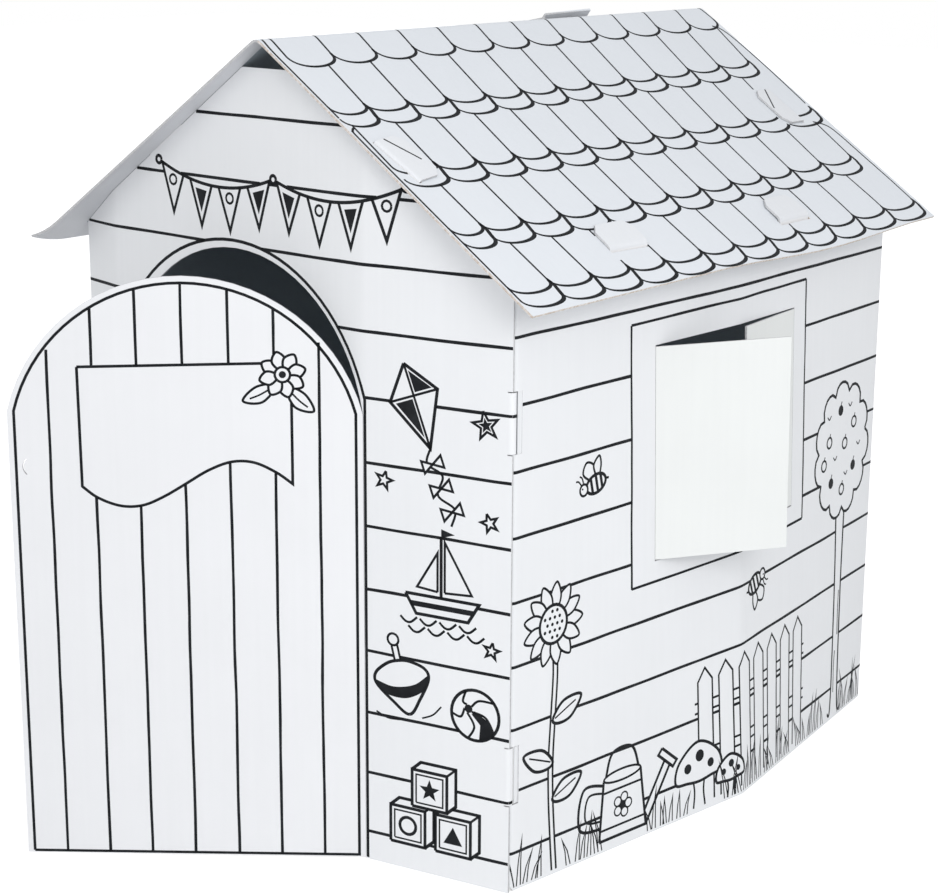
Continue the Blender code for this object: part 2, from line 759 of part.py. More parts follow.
def build_roof(material):
    points = [Vector((-roof_half, ridge_height - roof_half * math.tan(pitch))),
              Vector((0.0, ridge_height)),
              Vector((roof_half, ridge_height - roof_half * math.tan(pitch)))]
    section = FoldedStrip([-slope_width, 0.0, slope_width], points, 1, reach=ridge_fold_reach)
    tongues = tongue_list()
    loops = [box_loop(-slope_width, slope_width, roof_front, roof_back)]
    loops += [kerf_loop(*tongue[:4]) for tongue in tongues]
    loops += [tab.slit_loop() for tab in door_sheet_tabs + window_sheet_tabs]
    sag_start = slope_width - eave_sag_depth
    curl_steps = steps_between(0.0, corner_curl_size, curl_bands) + [corner_curl_size]
    cuts = section.fold_lines() + steps_between(sag_start, slope_width, eave_bands) + [sag_start]
    cuts += [step - slope_width for step in curl_steps]
    level_cuts = steps_between(roof_front, roof_back, roof_bands)
    level_cuts += [roof_front + step for step in curl_steps]
    mesh = card_slab(loops, cuts, level_cuts)
    for corner in mesh.verts:
        across, depth, along = corner.co
        lift = sum(tongue_lift(tongue, across, along) for tongue in tongues)
        sag = 0.0
        sag_share = 1.0 - ((along - eave_sag_place) / eave_sag_length) ** 2
        if across > sag_start and sag_share > 0.0:
            sag = eave_sag * sag_share ** 2 * ((across - sag_start) / eave_sag_depth) ** 2
        curl_reach = math.hypot(across + slope_width, along - roof_front)
        if curl_reach < corner_curl_size:
            lift += corner_curl * (1.0 - curl_reach / corner_curl_size) ** 2
        point = section.place_point(across, depth - lift, 0.0)
        corner.co = (point.x, along, point.y - sag)
    return finish_object("roof", mesh, material)


def centre_over_origin(pieces):
    # All corners in plan decide the shift, which the pieces share
    bpy.context.view_layer.update()
    corners = [piece.matrix_world @ corner.co for piece in pieces for corner in piece.data.vertices]
    shift = Vector((0.0, 0.0, 0.0))
    for axis in (0, 1):
        reach = [corner[axis] for corner in corners]
        shift[axis] = (min(reach) + max(reach)) / 2.0
    for piece in pieces:
        piece.location -= shift


def build_house():
    clear_scene()
    window_rear = window_front + window_width
    rear_shutter_width = window_width - front_shutter_width - 2.0 * hinge_gap - cut_gap
    pieces = [
        build_door_sheet(card_material("front_and_left_card", (0.86, 0.87, 0.89), 0.62)),
        build_window_sheet(card_material("right_and_back_card", (0.84, 0.85, 0.87), 0.62)),
        build_roof(card_material("roof_card", (0.83, 0.85, 0.88), 0.6)),
        build_door(card_material("door_card", (0.88, 0.88, 0.89), 0.6)),
        build_shutter("shutter_front", window_front, 1, front_shutter_width, front_shutter_rest_angle,
                      card_material("front_shutter_card", (0.9, 0.9, 0.9), 0.6)),
        build_shutter("shutter_rear", window_rear, -1, rear_shutter_width, rear_shutter_rest_angle,
                      card_material("rear_shutter_card", (0.89, 0.89, 0.9), 0.6)),
    ]
    centre_over_origin(pieces)


build_house()
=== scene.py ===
# The looks of a printed card play house, around its imported model.
# Each folded sheet becomes white board with a darker inside, painted as shade where it lines the house,
# and bare cut edges.
# Every printed line is a flat ribbon of ink, drawn in its panel's plane and laid on the card by rays.

import math
import random

import bmesh
import bpy
import numpy as np
from mathutils import Matrix, Vector, noise
from mathutils.bvhtree import BVHTree
from mathutils.kdtree import KDTree


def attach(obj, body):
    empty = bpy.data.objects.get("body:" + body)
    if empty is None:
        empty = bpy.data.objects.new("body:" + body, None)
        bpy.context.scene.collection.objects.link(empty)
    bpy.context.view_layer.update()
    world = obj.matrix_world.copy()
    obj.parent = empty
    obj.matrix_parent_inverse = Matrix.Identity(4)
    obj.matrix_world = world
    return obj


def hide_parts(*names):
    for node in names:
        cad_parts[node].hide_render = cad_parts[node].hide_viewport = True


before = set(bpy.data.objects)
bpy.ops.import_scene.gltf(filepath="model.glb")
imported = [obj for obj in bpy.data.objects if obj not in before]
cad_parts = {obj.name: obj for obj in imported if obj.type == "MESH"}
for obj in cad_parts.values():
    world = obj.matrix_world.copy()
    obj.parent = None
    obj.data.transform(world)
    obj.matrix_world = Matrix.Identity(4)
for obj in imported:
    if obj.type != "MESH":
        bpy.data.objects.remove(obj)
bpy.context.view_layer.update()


def material(name, roughness):
    made = bpy.data.materials.new(name)
    made.use_nodes = True
    shader = made.node_tree.nodes["Principled BSDF"]
    shader.inputs["Roughness"].default_value = roughness
    return made, made.node_tree, shader


def join(tree, source, output, target, entry):
    tree.links.new(source.outputs[output], target.inputs[entry])


def addNode(tree, kind, inputs=None, **settings):
    # An input is given its value, or another node and the name of that node's output
    node = tree.nodes.new(kind)
    for name, value in settings.items():
        setattr(node, name, value)
    for name, value in (inputs or {}).items():
        if isinstance(value, tuple) and isinstance(value[0], bpy.types.Node):
            join(tree, *value, node, name)
        else:
            node.inputs[name].default_value = value
    return node


def noiseOn(tree, scale, detail, squeeze=(1.0, 1.0, 1.0)):
    # Noise on the object's own coordinates, drawn out along an axis that is squeezed first
    place = addNode(tree, "ShaderNodeTexCoord")
    spot = addNode(tree, "ShaderNodeMapping", {"Vector": (place, "Object"), "Scale": squeeze})
    return addNode(tree, "ShaderNodeTexNoise",
                   {"Vector": (spot, "Vector"), "Scale": scale, "Detail": detail})


def colourFrom(tree, cloud, shader, stops):
    # The base colour from a cloud of noise; each stop is its place and its colour
    ramp = addNode(tree, "ShaderNodeValToRGB", {"Fac": (cloud, "Fac")})
    for element, (place, colour) in zip(ramp.color_ramp.elements, stops):
        element.position = place
        element.color = (*colour, 1.0)
    join(tree, ramp, "Color", shader, "Base Color")


def newObject(name, data):
    made = bpy.data.objects.new(name, data)
    bpy.context.scene.collection.objects.link(made)
    return made


def newPiece(name, mesh, looks, body=None):
    # The finished mesh as an object of its own, at the origin
    data = bpy.data.meshes.new(name)
    mesh.to_mesh(data)
    mesh.free()
    for look in looks:
        data.materials.append(look)
    piece = newObject(name, data)
    if body:
        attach(piece, body)
    return piece


cardLook = {"roughness": 0.58, "flutePitch": 0.0075, "fluteTone": 0.012, "fluteDetail": 1.5,
            "fluteSqueeze": 0.02, "mottleScale": 9.0, "mottleTone": 0.02, "mottleDetail": 4.0,
            "toneRange": (0.3, 0.7), "toothScale": 900.0, "toothDetail": 2.0, "toothShare": 0.25,
            "bump": 0.0002, "bumpStrength": 0.35}
edgeLook = {"roughness": 0.9, "scale": 260.0, "detail": 3.0, "from": 0.35, "to": 0.65}


def cardMaterial(name, colour, fluteAxis):
    # White liner over fluting: faint streaks along the flutes, a soft mottle and a fine tooth
    made, tree, shader = material(name, cardLook["roughness"])
    squeeze = [1.0, 1.0, 1.0]
    squeeze[fluteAxis] = cardLook["fluteSqueeze"]
    flutes = noiseOn(tree, 1.0 / cardLook["flutePitch"], cardLook["fluteDetail"], squeeze)
    mottle = noiseOn(tree, cardLook["mottleScale"], cardLook["mottleDetail"])
    low, high = cardLook["toneRange"]
    tones = {}
    for entry, (cloud, depth) in enumerate(((flutes, cardLook["fluteTone"]),
                                            (mottle, cardLook["mottleTone"]))):
        tone = addNode(tree, "ShaderNodeMapRange", {"Value": (cloud, "Fac"), "From Min": low,
                                                    "From Max": high, "To Min": 1.0 - depth})
        tones[entry] = (tone, "Result")
    both = addNode(tree, "ShaderNodeMath", tones, operation="MULTIPLY")
    tint = addNode(tree, "ShaderNodeVectorMath", {0: colour, "Scale": (both, "Value")},
                   operation="SCALE")
    join(tree, tint, "Vector", shader, "Base Color")
    tooth = noiseOn(tree, cardLook["toothScale"], cardLook["toothDetail"])
    grain = addNode(tree, "ShaderNodeMath", {0: (tooth, "Fac"), 1: cardLook["toothShare"],
                                             2: (flutes, "Fac")}, operation="MULTIPLY_ADD")
    bump = addNode(tree, "ShaderNodeBump", {"Height": (grain, "Value"), "Distance": cardLook["bump"],
                                            "Strength": cardLook["bumpStrength"]})
    join(tree, bump, "Normal", shader, "Normal")
    return made


def cutEdgeMaterial(name, dark, pale):
    # The board's bare middle between its liners, mottled by the ends of the fluting
    made, tree, shader = material(name, edgeLook["roughness"])
    fibres = noiseOn(tree, edgeLook["scale"], edgeLook["detail"])
    colourFrom(tree, fibres, shader, ((edgeLook["from"], dark), (edgeLook["to"], pale)))
    return made


# Each face's colour and the axis that its fluting runs along, and each cut edge's two colours. The
# walls' inside is charcoal as painted shade, for the unlit inside of the house
cardFaces = {"wallFace": ((0.84, 0.85, 0.87), 2), "insidePaintedShade": ((0.28, 0.325, 0.365), 2),
             # The roof's underside is its white liner, darkened as painted shade
             "roofFace": ((0.775, 0.803, 0.845), 0), "roofUndersidePaintedShade": ((0.68, 0.69, 0.72), 0),
             "doorFace": ((0.825, 0.83, 0.85), 2), "flapInside": ((0.78, 0.79, 0.8), 2),
             # The tabs' colour is the wall's card with painted shade, darker and cooler
             "shutterFace": ((0.8, 0.815, 0.805), 2), "tabPaintedShade": ((0.79, 0.805, 0.835), 0)}
cutEdges = {"roofEdge": ((0.56, 0.47, 0.4), (0.78, 0.74, 0.71)),
            "paleEdge": ((0.5, 0.5, 0.51), (0.6, 0.6, 0.61))}
finishes = {name: cardMaterial(name, *face) for name, face in cardFaces.items()}
finishes.update({name: cutEdgeMaterial(name, *edge) for name, edge in cutEdges.items()})

sheetCheck = {"least": 0.0022, "most": 0.0038, "start": 0.0002, "merge": 0.00001, "crease": 25.0}


def cardSheet(nodeName, pieceName, body, looks, facesOut, shade=None, cuts=()):
    # A merged copy of the folded sheet, with a finish for its outside, its inside and its cuts
    mesh = bmesh.new()
    mesh.from_mesh(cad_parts[nodeName].data)
    bmesh.ops.remove_doubles(mesh, verts=mesh.verts, dist=sheetCheck["merge"])
    for spot, normal in cuts:
        bmesh.ops.bisect_plane(mesh, geom=mesh.verts[:] + mesh.edges[:] + mesh.faces[:],
                               dist=sheetCheck["merge"], plane_co=spot, plane_no=normal)
    mesh.normal_update()
    tree = BVHTree.FromBMesh(mesh)
    for face in mesh.faces:
        centre = face.calc_center_median()
        through = tree.ray_cast(centre - face.normal * sheetCheck["start"], -face.normal)[3]
        index = 2
        if through is not None and sheetCheck["least"] < through < sheetCheck["most"]:
            index = 0 if facesOut(centre, face.normal) else 1
        face.material_index = shade(centre, index) if shade else index
        face.smooth = True
    for edge in mesh.edges:
        if edge.is_manifold and edge.calc_face_angle() > math.radians(sheetCheck["crease"]):
            edge.smooth = False
    piece = newPiece(pieceName, mesh, [finishes[look] for look in looks], body)
    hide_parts(nodeName)
    return tree


ridgeLine = {"x": -0.034455, "height": 1.0410, "pitch": 34.75}
leaf = {"hinge": (0.115999, -0.365402, 0.0), "heading": 216.6, "width": 0.439}
houseMiddle = Vector((-0.035, 0.115, 0.0))
slope, heading = math.radians(ridgeLine["pitch"]), math.radians(leaf["heading"])
acrossHouse, alongHouse, upwards = (1.0, 0.0, 0.0), (0.0, 1.0, 0.0), (0.0, 0.0, 1.0)
ridgePoint = Vector((ridgeLine["x"], 0.0, ridgeLine["height"]))
rightDown = Vector((math.cos(slope), 0.0, -math.sin(slope)))
rightOut = Vector((math.sin(slope), 0.0, math.cos(slope)))
leftDown = Vector((-math.cos(slope), 0.0, -math.sin(slope)))
leftOut = Vector((-math.sin(slope), 0.0, math.cos(slope)))
leafWay = Vector((math.cos(heading), math.sin(heading), 0.0))
leafOut = Vector((-leafWay.y, leafWay.x, 0.0))


def outOfHouse(centre, normal):
    away = centre - houseMiddle
    return normal.x * away.x + normal.y * away.y > 0.0


def upward(centre, normal):
    return normal.z > 0.0


def outOfLeaf(centre, normal):
    return normal.x > 0.0


def insideOf(points, polygon):
    # True for each point inside the polygon
    spots = np.array([p[:2] for p in points])
    corners = np.array([p[:2] for p in polygon])
    inside = np.zeros(len(spots), bool)
    for one, two in zip(corners, np.roll(corners, -1, axis=0)):
        crosses = (one[1] > spots[:, 1]) != (two[1] > spots[:, 1])
        rise = two[1] - one[1]
        if rise != 0.0:
            reach = one[0] + (spots[:, 1] - one[1]) * (two[0] - one[0]) / rise
            inside ^= crosses & (spots[:, 0] < reach)
    return inside


# The walls' corners in plan, round from the front right one: the roof's underside gets painted shade
# inside them
wallCorners = [(0.3214, -0.3333), (0.1166, -0.3658), (-0.3399, -0.3419), (-0.4164, -0.3222),
               (-0.4041, 0.5591), (0.3394, 0.5591), (0.3426, 0.1372)]
ridgeFlaps = {"start": 0.126, "end": 0.3825, "top": 0.0095, "foot": 0.1045, "lift": -0.0028,
              "paleCuts": 0.003}
tabsAbove = -0.0005  # from the roof's outer face


def wallPlanes():
    return [((*one, 0.0), (one[1] - two[1], two[0] - one[0], 0.0))
            for one, two in zip(wallCorners, wallCorners[1:] + wallCorners[:1])]


def roofShade(centre, index):
    # The underside is painted dark inside the walls as the shade of the unlit house, except on the
    # lifted ridge flaps, and the left slope's cuts are pale
    if index == 2:
        return 4 if centre.x < ridgeLine["x"] + ridgeFlaps["paleCuts"] else 2
    if index != 1:
        return index
    down = (ridgeLine["x"] - centre.x) / math.cos(slope)
    onFlap = (ridgeFlaps["start"] < centre.y < ridgeFlaps["end"]
              and ridgeFlaps["top"] < down < ridgeFlaps["foot"])
    lifted = (centre - ridgePoint).dot(leftOut) > ridgeFlaps["lift"]
    return 3 if insideOf([centre], wallCorners)[0] and not (onFlap and lifted) else 1


def wallShade(centre, index):
    # Tabs folded flat on the roof take a painted shade: the wall's card made darker and cooler, to the
    # roof's lit tone
    above = max((centre - ridgePoint).dot(out) for out in (rightOut, leftOut))
    return 3 if index == 0 and above > tabsAbove else index


wallLooks = ["wallFace", "insidePaintedShade", "paleEdge", "tabPaintedShade"]
shutterLooks = ["shutterFace", "flapInside", "paleEdge"]
frontTree = cardSheet("front_and_left_walls", "frontAndLeftCard", "house", wallLooks,
                      outOfHouse, wallShade)
sideTree = cardSheet("right_and_back_walls", "rightAndBackCard", "house", wallLooks,
                     outOfHouse, wallShade)
roofTree = cardSheet("roof", "roofCard", "house",
                     ["roofFace", "roofUndersidePaintedShade", "roofEdge", "insidePaintedShade", "paleEdge"], upward,
                     roofShade, wallPlanes())
doorTree = cardSheet("door", "doorCard", "door_leaf",
                     ["doorFace", "flapInside", "paleEdge"], outOfLeaf)
cardSheet("shutter_front", "frontShutterCard", "front_shutter", shutterLooks, outOfLeaf)
cardSheet("shutter_rear", "rearShutterCard", "rear_shutter", shutterLooks, outOfLeaf)
print("Card sheets are in place")

# The front corner's slots close up behind their tabs
slotLips = {"along": (-0.3228, -0.3146), "across": (0.3203, 0.3215),
            "heights": ((0.1176, 0.1926), (0.5656, 0.6426))}


def closeSlots():
    mesh = bmesh.new()
    near, far = slotLips["along"]
    inner, outer = slotLips["across"]
    for low, high in slotLips["heights"]:
        middle = Matrix.Translation(((inner + outer) / 2.0, (near + far) / 2.0, (low + high) / 2.0))
        span = Matrix.Diagonal((outer - inner, far - near, high - low, 1.0))
        bmesh.ops.create_cube(mesh, size=1.0, matrix=middle @ span)
    newPiece("slotLips", mesh, [finishes["wallFace"]], "house")


closeSlots()
print("Slots are closed")


# A panel is a drawing board: strokes are lists of (across, up, width) on it, in metres
panels = []


def newPanel(name, origin, across, up, aim, tree, body, slotName):
    panels.append({"name": name, "origin": Vector(origin), "across": Vector(across), "up": Vector(up),
                   "aim": Vector(aim), "tree": tree, "body": body, "slot": slotName, "strokes": [],
                   "fills": []})
    return panels[-1]


def box(start, low, end, high):
    return [(start, low), (end, low), (end, high), (start, high)]


def line(panel, points, width=None, hides=False):
    if hides:
        cover(panel, points)
    panel["strokes"].append([(p[0], p[1], p[2] if len(p) > 2 else width) for p in points])


def loop(panel, points, width, hides=False):
    line(panel, list(points) + [points[0]], width, hides)


def blot(panel, points):
    panel["fills"].append([tuple(p[:2]) for p in points])


pen = {"step": 0.02, "sway": 0.0008, "swayPace": 0.3, "swell": 0.16, "swellPace": 0.5}


def wobbly(start, end, width, seed):
    # A ruled line as a felt pen draws it, with a little sway and a changing width
    steps = max(2, int(math.dist(start, end) / pen["step"]))
    points = []
    for index in range(steps + 1):
        share = index / steps
        drift = noise.noise(Vector((share * steps * pen["swayPace"], seed * 3.7, 0.5)))
        swell = noise.noise(Vector((share * steps * pen["swellPace"], seed * 5.1, 9.5)))
        points.append((start[0] + (end[0] - start[0]) * share,
                       start[1] + (end[1] - start[1]) * share + drift * pen["sway"],
                       width * (1.0 + pen["swell"] * swell)))
    return points


def uprightWobbly(start, end, width, seed):
    # The same for a line that runs up its panel
    return [(p[1], p[0], p[2]) for p in wobbly(start[::-1], end[::-1], width, seed)]


def smooth(points, closed=False, steps=8):
    # A soft curve through the given points
    count = len(points)
    made = []
    for index in range(count if closed else count - 1):
        around = range(index - 1, index + 3)
        four = [points[at % count if closed else min(max(at, 0), count - 1)] for at in around]
        for step in range(steps):
            t = step / steps
            weights = (-0.5 * t + t * t - 0.5 * t ** 3, 1.0 - 2.5 * t * t + 1.5 * t ** 3,
                       0.5 * t + 2.0 * t * t - 1.5 * t ** 3, -0.5 * t * t + 0.5 * t ** 3)
            made.append(tuple(sum(weight * point[axis] for weight, point in zip(weights, four))
                              for axis in range(len(points[0]))))
    if not closed:
        made.append(points[-1])
    return made


def closely(stroke, step=0.0015):
    # The stroke with points close enough together to cut it anywhere
    made = [stroke[0]]
    for before, after in zip(stroke, stroke[1:]):
        count = max(1, math.ceil(math.dist(before[:2], after[:2]) / step))
        for index in range(1, count + 1):
            share = index / count
            made.append(tuple(a + (b - a) * share for a, b in zip(before, after)))
    return made


def spanOf(points):
    return [(min(p[axis] for p in points), max(p[axis] for p in points)) for axis in (0, 1)]


def cover(panel, polygon):
    # White space over what is drawn so far, for a figure that stands in front of it
    reach = spanOf(polygon)
    kept = []
    for stroke in panel["strokes"]:
        if any(high < near or low > far for (low, high), (near, far) in zip(spanOf(stroke), reach)):
            kept.append(stroke)
            continue
        fine = closely(stroke)
        run = []
        for point, hidden in zip(fine, insideOf(fine, polygon)):
            if not hidden:
                run.append(point)
            elif run:
                kept.append(run)
                run = []
        if run:
            kept.append(run)
    panel["strokes"] = [stroke for stroke in kept if len(stroke) > 1]


ink = {"top": 0.00014, "bottom": -0.00012, "bend": 0.00005, "finest": 0.0007, "steepest": 1.3,
       "jump": 0.0002, "slip": 0.0015, "slack": 0.00006, "widthSlack": 0.4, "roughness": 0.6,
       "specular": 0.1, "scale": 45.0, "detail": 5.0, "deep": (0.4, (0.008, 0.009, 0.011)),
       "thin": (0.7, (0.017, 0.019, 0.022))}


def thinned(stroke):
    # Fewer points where the line runs straight
    if len(stroke) < 3:
        return stroke
    first, last = np.array(stroke[0]), np.array(stroke[-1])
    middle = np.array(stroke[1:-1])
    way = last[:2] - first[:2]
    offset = middle[:, :2] - first[:2]
    length = np.hypot(*way)
    if length < 1e-9:
        off = np.hypot(*offset.T)
        share = np.zeros(len(middle))
    else:
        off = np.abs(offset[:, 0] * way[1] - offset[:, 1] * way[0]) / length
        share = np.clip(offset @ way / length ** 2, 0.0, 1.0)
    widthOff = np.abs(middle[:, 2] - first[2] - (last[2] - first[2]) * share)
    off = np.maximum(off, widthOff * ink["widthSlack"])
    worst = int(off.argmax())
    if off[worst] < ink["slack"]:
        return [stroke[0], stroke[-1]]
    return thinned(stroke[:worst + 2])[:-1] + thinned(stroke[worst + 1:])


def depthAt(panel, across, up):
    start = panel["origin"] + panel["across"] * across + panel["up"] * up
    return panel["tree"].ray_cast(start, panel["aim"], 3.0)[3]


def laid(panel, stroke):
    # The stroke's runs that lie on card, with points wherever the card bends
    depths = [depthAt(panel, p[0], p[1]) for p in stroke]
    runs = []
    run = []

    def follow(before, depthBefore, after, depthAfter):
        nonlocal run
        length = math.dist(before[:2], after[:2])
        middle = tuple((a + b) / 2.0 for a, b in zip(before, after))
        depth = depthAt(panel, middle[0], middle[1])
        missing = None in (depthBefore, depthAfter, depth)
        bent = missing or abs(depth - (depthBefore + depthAfter) / 2.0) > ink["bend"]
        if bent and length > ink["finest"]:
            follow(before, depthBefore, middle, depth)
            follow(middle, depth, after, depthAfter)
            return
        if missing or abs(depthAfter - depthBefore) > ink["steepest"] * length + ink["jump"]:
            if len(run) > 1:
                runs.append(run)
            run = [] if depthAfter is None else [(*after, depthAfter)]
            return
        if not run:
            run = [(*before, depthBefore)]
        run.append((*after, depthAfter))

    for index in range(len(stroke) - 1):
        if math.dist(stroke[index][:2], stroke[index + 1][:2]) > 1e-6:
            follow(stroke[index], depths[index], stroke[index + 1], depths[index + 1])
    if len(run) > 1:
        runs.append(run)
    return runs


def flatCurve(name, fillMode):
    curve = bpy.data.curves.new(name, "CURVE")
    curve.dimensions = "2D"
    curve.fill_mode = fillMode
    return curve


def addSpline(data, points, closed=False):
    spline = data.splines.new("POLY")
    spline.points.add(len(points) - 1)
    spline.use_cyclic_u = closed
    spline.use_smooth = False
    for point, place in zip(spline.points, points):
        point.co = (place[0], place[1], 0.0, 1.0)
        point.radius = place[2] if len(place) > 2 else 1.0


def takeMesh(mesh, curve):
    # Add the curve's own mesh to the bmesh, and drop the curve
    holder = newObject(curve.name, curve)
    bpy.context.view_layer.update()
    made = bpy.data.meshes.new_from_object(holder.evaluated_get(bpy.context.evaluated_depsgraph_get()))
    mesh.from_mesh(made)
    bpy.data.meshes.remove(made)
    bpy.data.objects.remove(holder)


def printPanel(panel, look):
    # Sweep every stroke with a flat nib, fill the blots, and press both onto the card
    nib = flatCurve("nib", "NONE")
    addSpline(nib, box(-0.5, -0.5, 0.5, 0.5), True)
    lines = flatCurve(panel["name"] + "Lines", "NONE")
    lines.bevel_mode = "OBJECT"
    lines.bevel_object = newObject("nib", nib)
    lines.use_fill_caps = True
    stations = []
    for stroke in panel["strokes"]:
        for run in laid(panel, thinned(stroke)):
            addSpline(lines, run)
            stations += [(p[0], p[1], p[3]) for p in run]
    blots = flatCurve(panel["name"] + "Blots", "BOTH")
    blots.extrude = 0.5
    for outline in panel["fills"]:
        addSpline(blots, outline, True)
        stations += [(p[0], p[1], depthAt(panel, p[0], p[1])) for p in outline]
    stations = [spot for spot in stations if spot[2] is not None]
    mesh = bmesh.new()
    takeMesh(mesh, lines)
    if panel["fills"]:
        takeMesh(mesh, blots)
    bpy.data.curves.remove(nib)
    nearest = KDTree(len(stations))
    for index, spot in enumerate(stations):
        nearest.insert((spot[0], spot[1], 0.0), index)
    nearest.balance()
    for corner in mesh.verts:
        across, up, side = corner.co
        depth = depthAt(panel, across, up)
        expected = stations[nearest.find((across, up, 0.0))[1]][2]
        if depth is None or abs(depth - expected) > ink["slip"]:
            depth = expected
        lift = ink["top"] if side > 0.0 else ink["bottom"]
        corner.co = (panel["origin"] + panel["across"] * across + panel["up"] * up
                     + panel["aim"] * (depth - lift))
    bmesh.ops.recalc_face_normals(mesh, faces=mesh.faces)
    piece = newPiece(panel["name"], mesh, [look], panel["body"])
    print(panel["name"], "has", len(piece.data.polygons), "faces")


def wallPanel(name, across, aim, tree, reach=1.0):
    return newPanel(name, Vector(aim) * -reach, across, upwards, aim, tree, "house", "wall_card")


def slopePanel(name, down, out, tree, slotName="wall_card"):
    return newPanel(name, ridgePoint + out * 0.2, alongHouse, down, -out, tree, "house", slotName)


front = wallPanel("frontPrint", acrossHouse, (0.0, 1.0, 0.0), frontTree)
left = wallPanel("leftPrint", alongHouse, (1.0, 0.0, 0.0), frontTree)
right = wallPanel("rightPrint", alongHouse, (-1.0, 0.0, 0.0), sideTree)
back = wallPanel("backPrint", acrossHouse, (0.0, -1.0, 0.0), sideTree, 1.2)
roofRight = slopePanel("roofRightPrint", rightDown, rightOut, roofTree, "roof_card")
roofLeft = slopePanel("roofLeftPrint", leftDown, leftOut, roofTree, "roof_card")
doorPanel = newPanel("doorPrint", Vector(leaf["hinge"]) + leafOut * 0.2, leafWay, upwards, -leafOut,
                     doorTree, "door_leaf", "door_card")
cornerTabs = wallPanel("cornerTabPrint", alongHouse, (-1.0, 0.0, 0.0), frontTree)

# Wall boards, and the ends of them that the folded tabs carry
boards = {"pitch": 0.082, "frontFoot": 0.0391, "sideFoot": 0.0512, "width": 0.0040,
          "tabTop": 0.2045, "tabFoot": 0.2465, "tabWidth": 0.0026}


def boardLines(panel, start, end, foot, count, seed):
    for index in range(count):
        height = foot + boards["pitch"] * index
        line(panel, wobbly((start, height), (end, height), boards["width"], seed + index))


boardLines(front, -0.45, 0.34, boards["frontFoot"], 12, 10)
boardLines(left, -0.36, 0.58, boards["frontFoot"], 9, 30)
boardLines(right, -0.36, 0.58, boards["sideFoot"], 9, 50)
boardLines(back, -0.43, 0.36, boards["frontFoot"], 12, 70)
for row in (1, 7):
    height = boards["frontFoot"] + row * boards["pitch"]
    line(cornerTabs, [(-0.332, height), (-0.3235, height)], boards["width"])
for name, down, out, tree, top, foot in (
        ("frontTabRightPrint", rightDown, rightOut, frontTree, -0.3465, -0.317),
        ("frontTabLeftPrint", leftDown, leftOut, frontTree, -0.333, -0.303),
        ("backTabRightPrint", rightDown, rightOut, sideTree, 0.5445, 0.5155),
        ("backTabLeftPrint", leftDown, leftOut, sideTree, 0.5445, 0.5155)):
    line(slopePanel(name, down, out, tree), [(top, boards["tabTop"]), (foot, boards["tabFoot"])],
         boards["tabWidth"])

doorway = {"right": 0.1192, "left": -0.3382, "middle": -0.1095, "foot": 0.002, "spring": 0.61,
           "top": 0.7825, "width": 0.0042}
windowFrame = {"corners": [(-0.105, 0.345), (0.316, 0.347), (0.3205, 0.6915), (-0.1035, 0.689)],
               "width": 0.0036, "seed": 120}
door = {"inset": 0.0085, "foot": 0.0045, "spring": 0.591, "rise": 0.170, "width": 0.0036, "seed": 90,
        "planks": (0.0532, 0.1085, 0.164, 0.2207, 0.277, 0.332, 0.3875)}
namePanel = {"corners": [(0.3505, 0.6472), (0.0874, 0.6549), (0.0874, 0.5015)], "width": 0.0036,
             "wave": [(0.0874, 0.5015), (0.1076, 0.5161), (0.1350, 0.5285), (0.1628, 0.529),
                      (0.1915, 0.518), (0.2193, 0.5009), (0.2470, 0.484), (0.2745, 0.4720),
                      (0.3020, 0.471), (0.33, 0.481), (0.3492, 0.4955)]}


def archOf(middle, half, foot, spring, rise, steps=36):
    # Up from the right foot, round the arch and down to the left foot
    radius = (half ** 2 + rise ** 2) / (2.0 * rise)
    centre = spring + rise - radius
    sweep = math.asin(min(1.0, half / radius))
    turns = [sweep * (1.0 - 2.0 * index / steps) for index in range(steps + 1)]
    arch = [(middle + radius * math.sin(turn), centre + radius * math.cos(turn)) for turn in turns]
    return [(middle + half, foot)] + arch + [(middle - half, foot)]


def drawDoorway(panel):
    # The doorway's outline, just outside its cut
    outline = archOf(doorway["middle"], (doorway["right"] - doorway["left"]) / 2.0, doorway["foot"],
                     doorway["spring"], doorway["top"] - doorway["spring"])
    line(panel, outline, doorway["width"], True)


def drawWindowFrame(panel):
    corners = windowFrame["corners"]
    cover(panel, corners)
    for index, (one, two) in enumerate(zip(corners, corners[1:] + corners[:1])):
        ruled = uprightWobbly if index % 2 else wobbly
        line(panel, ruled(one, two, windowFrame["width"], windowFrame["seed"] + index))


def drawDoor(panel):
    # A border, planks, and a blank name panel with a wavy lower edge
    middle = leaf["width"] / 2.0
    border = archOf(middle, middle - door["inset"], door["foot"], door["spring"],
                    door["rise"] - door["inset"])
    arch = border[1:-1]
    for index, plank in enumerate(door["planks"]):
        tops = sorted(arch, key=lambda p: abs(p[0] - plank))[:2]
        line(panel, uprightWobbly((plank, door["foot"]), (plank, (tops[0][1] + tops[1][1]) / 2.0),
                                  door["width"], door["seed"] + index))
    loop(panel, border, door["width"])
    blank = namePanel["corners"] + smooth(namePanel["wave"])[1:]
    loop(panel, blank, namePanel["width"], True)


drawDoorway(front)
drawWindowFrame(right)
drawDoor(doorPanel)
print("Boards, doorway, window frame and door are drawn")

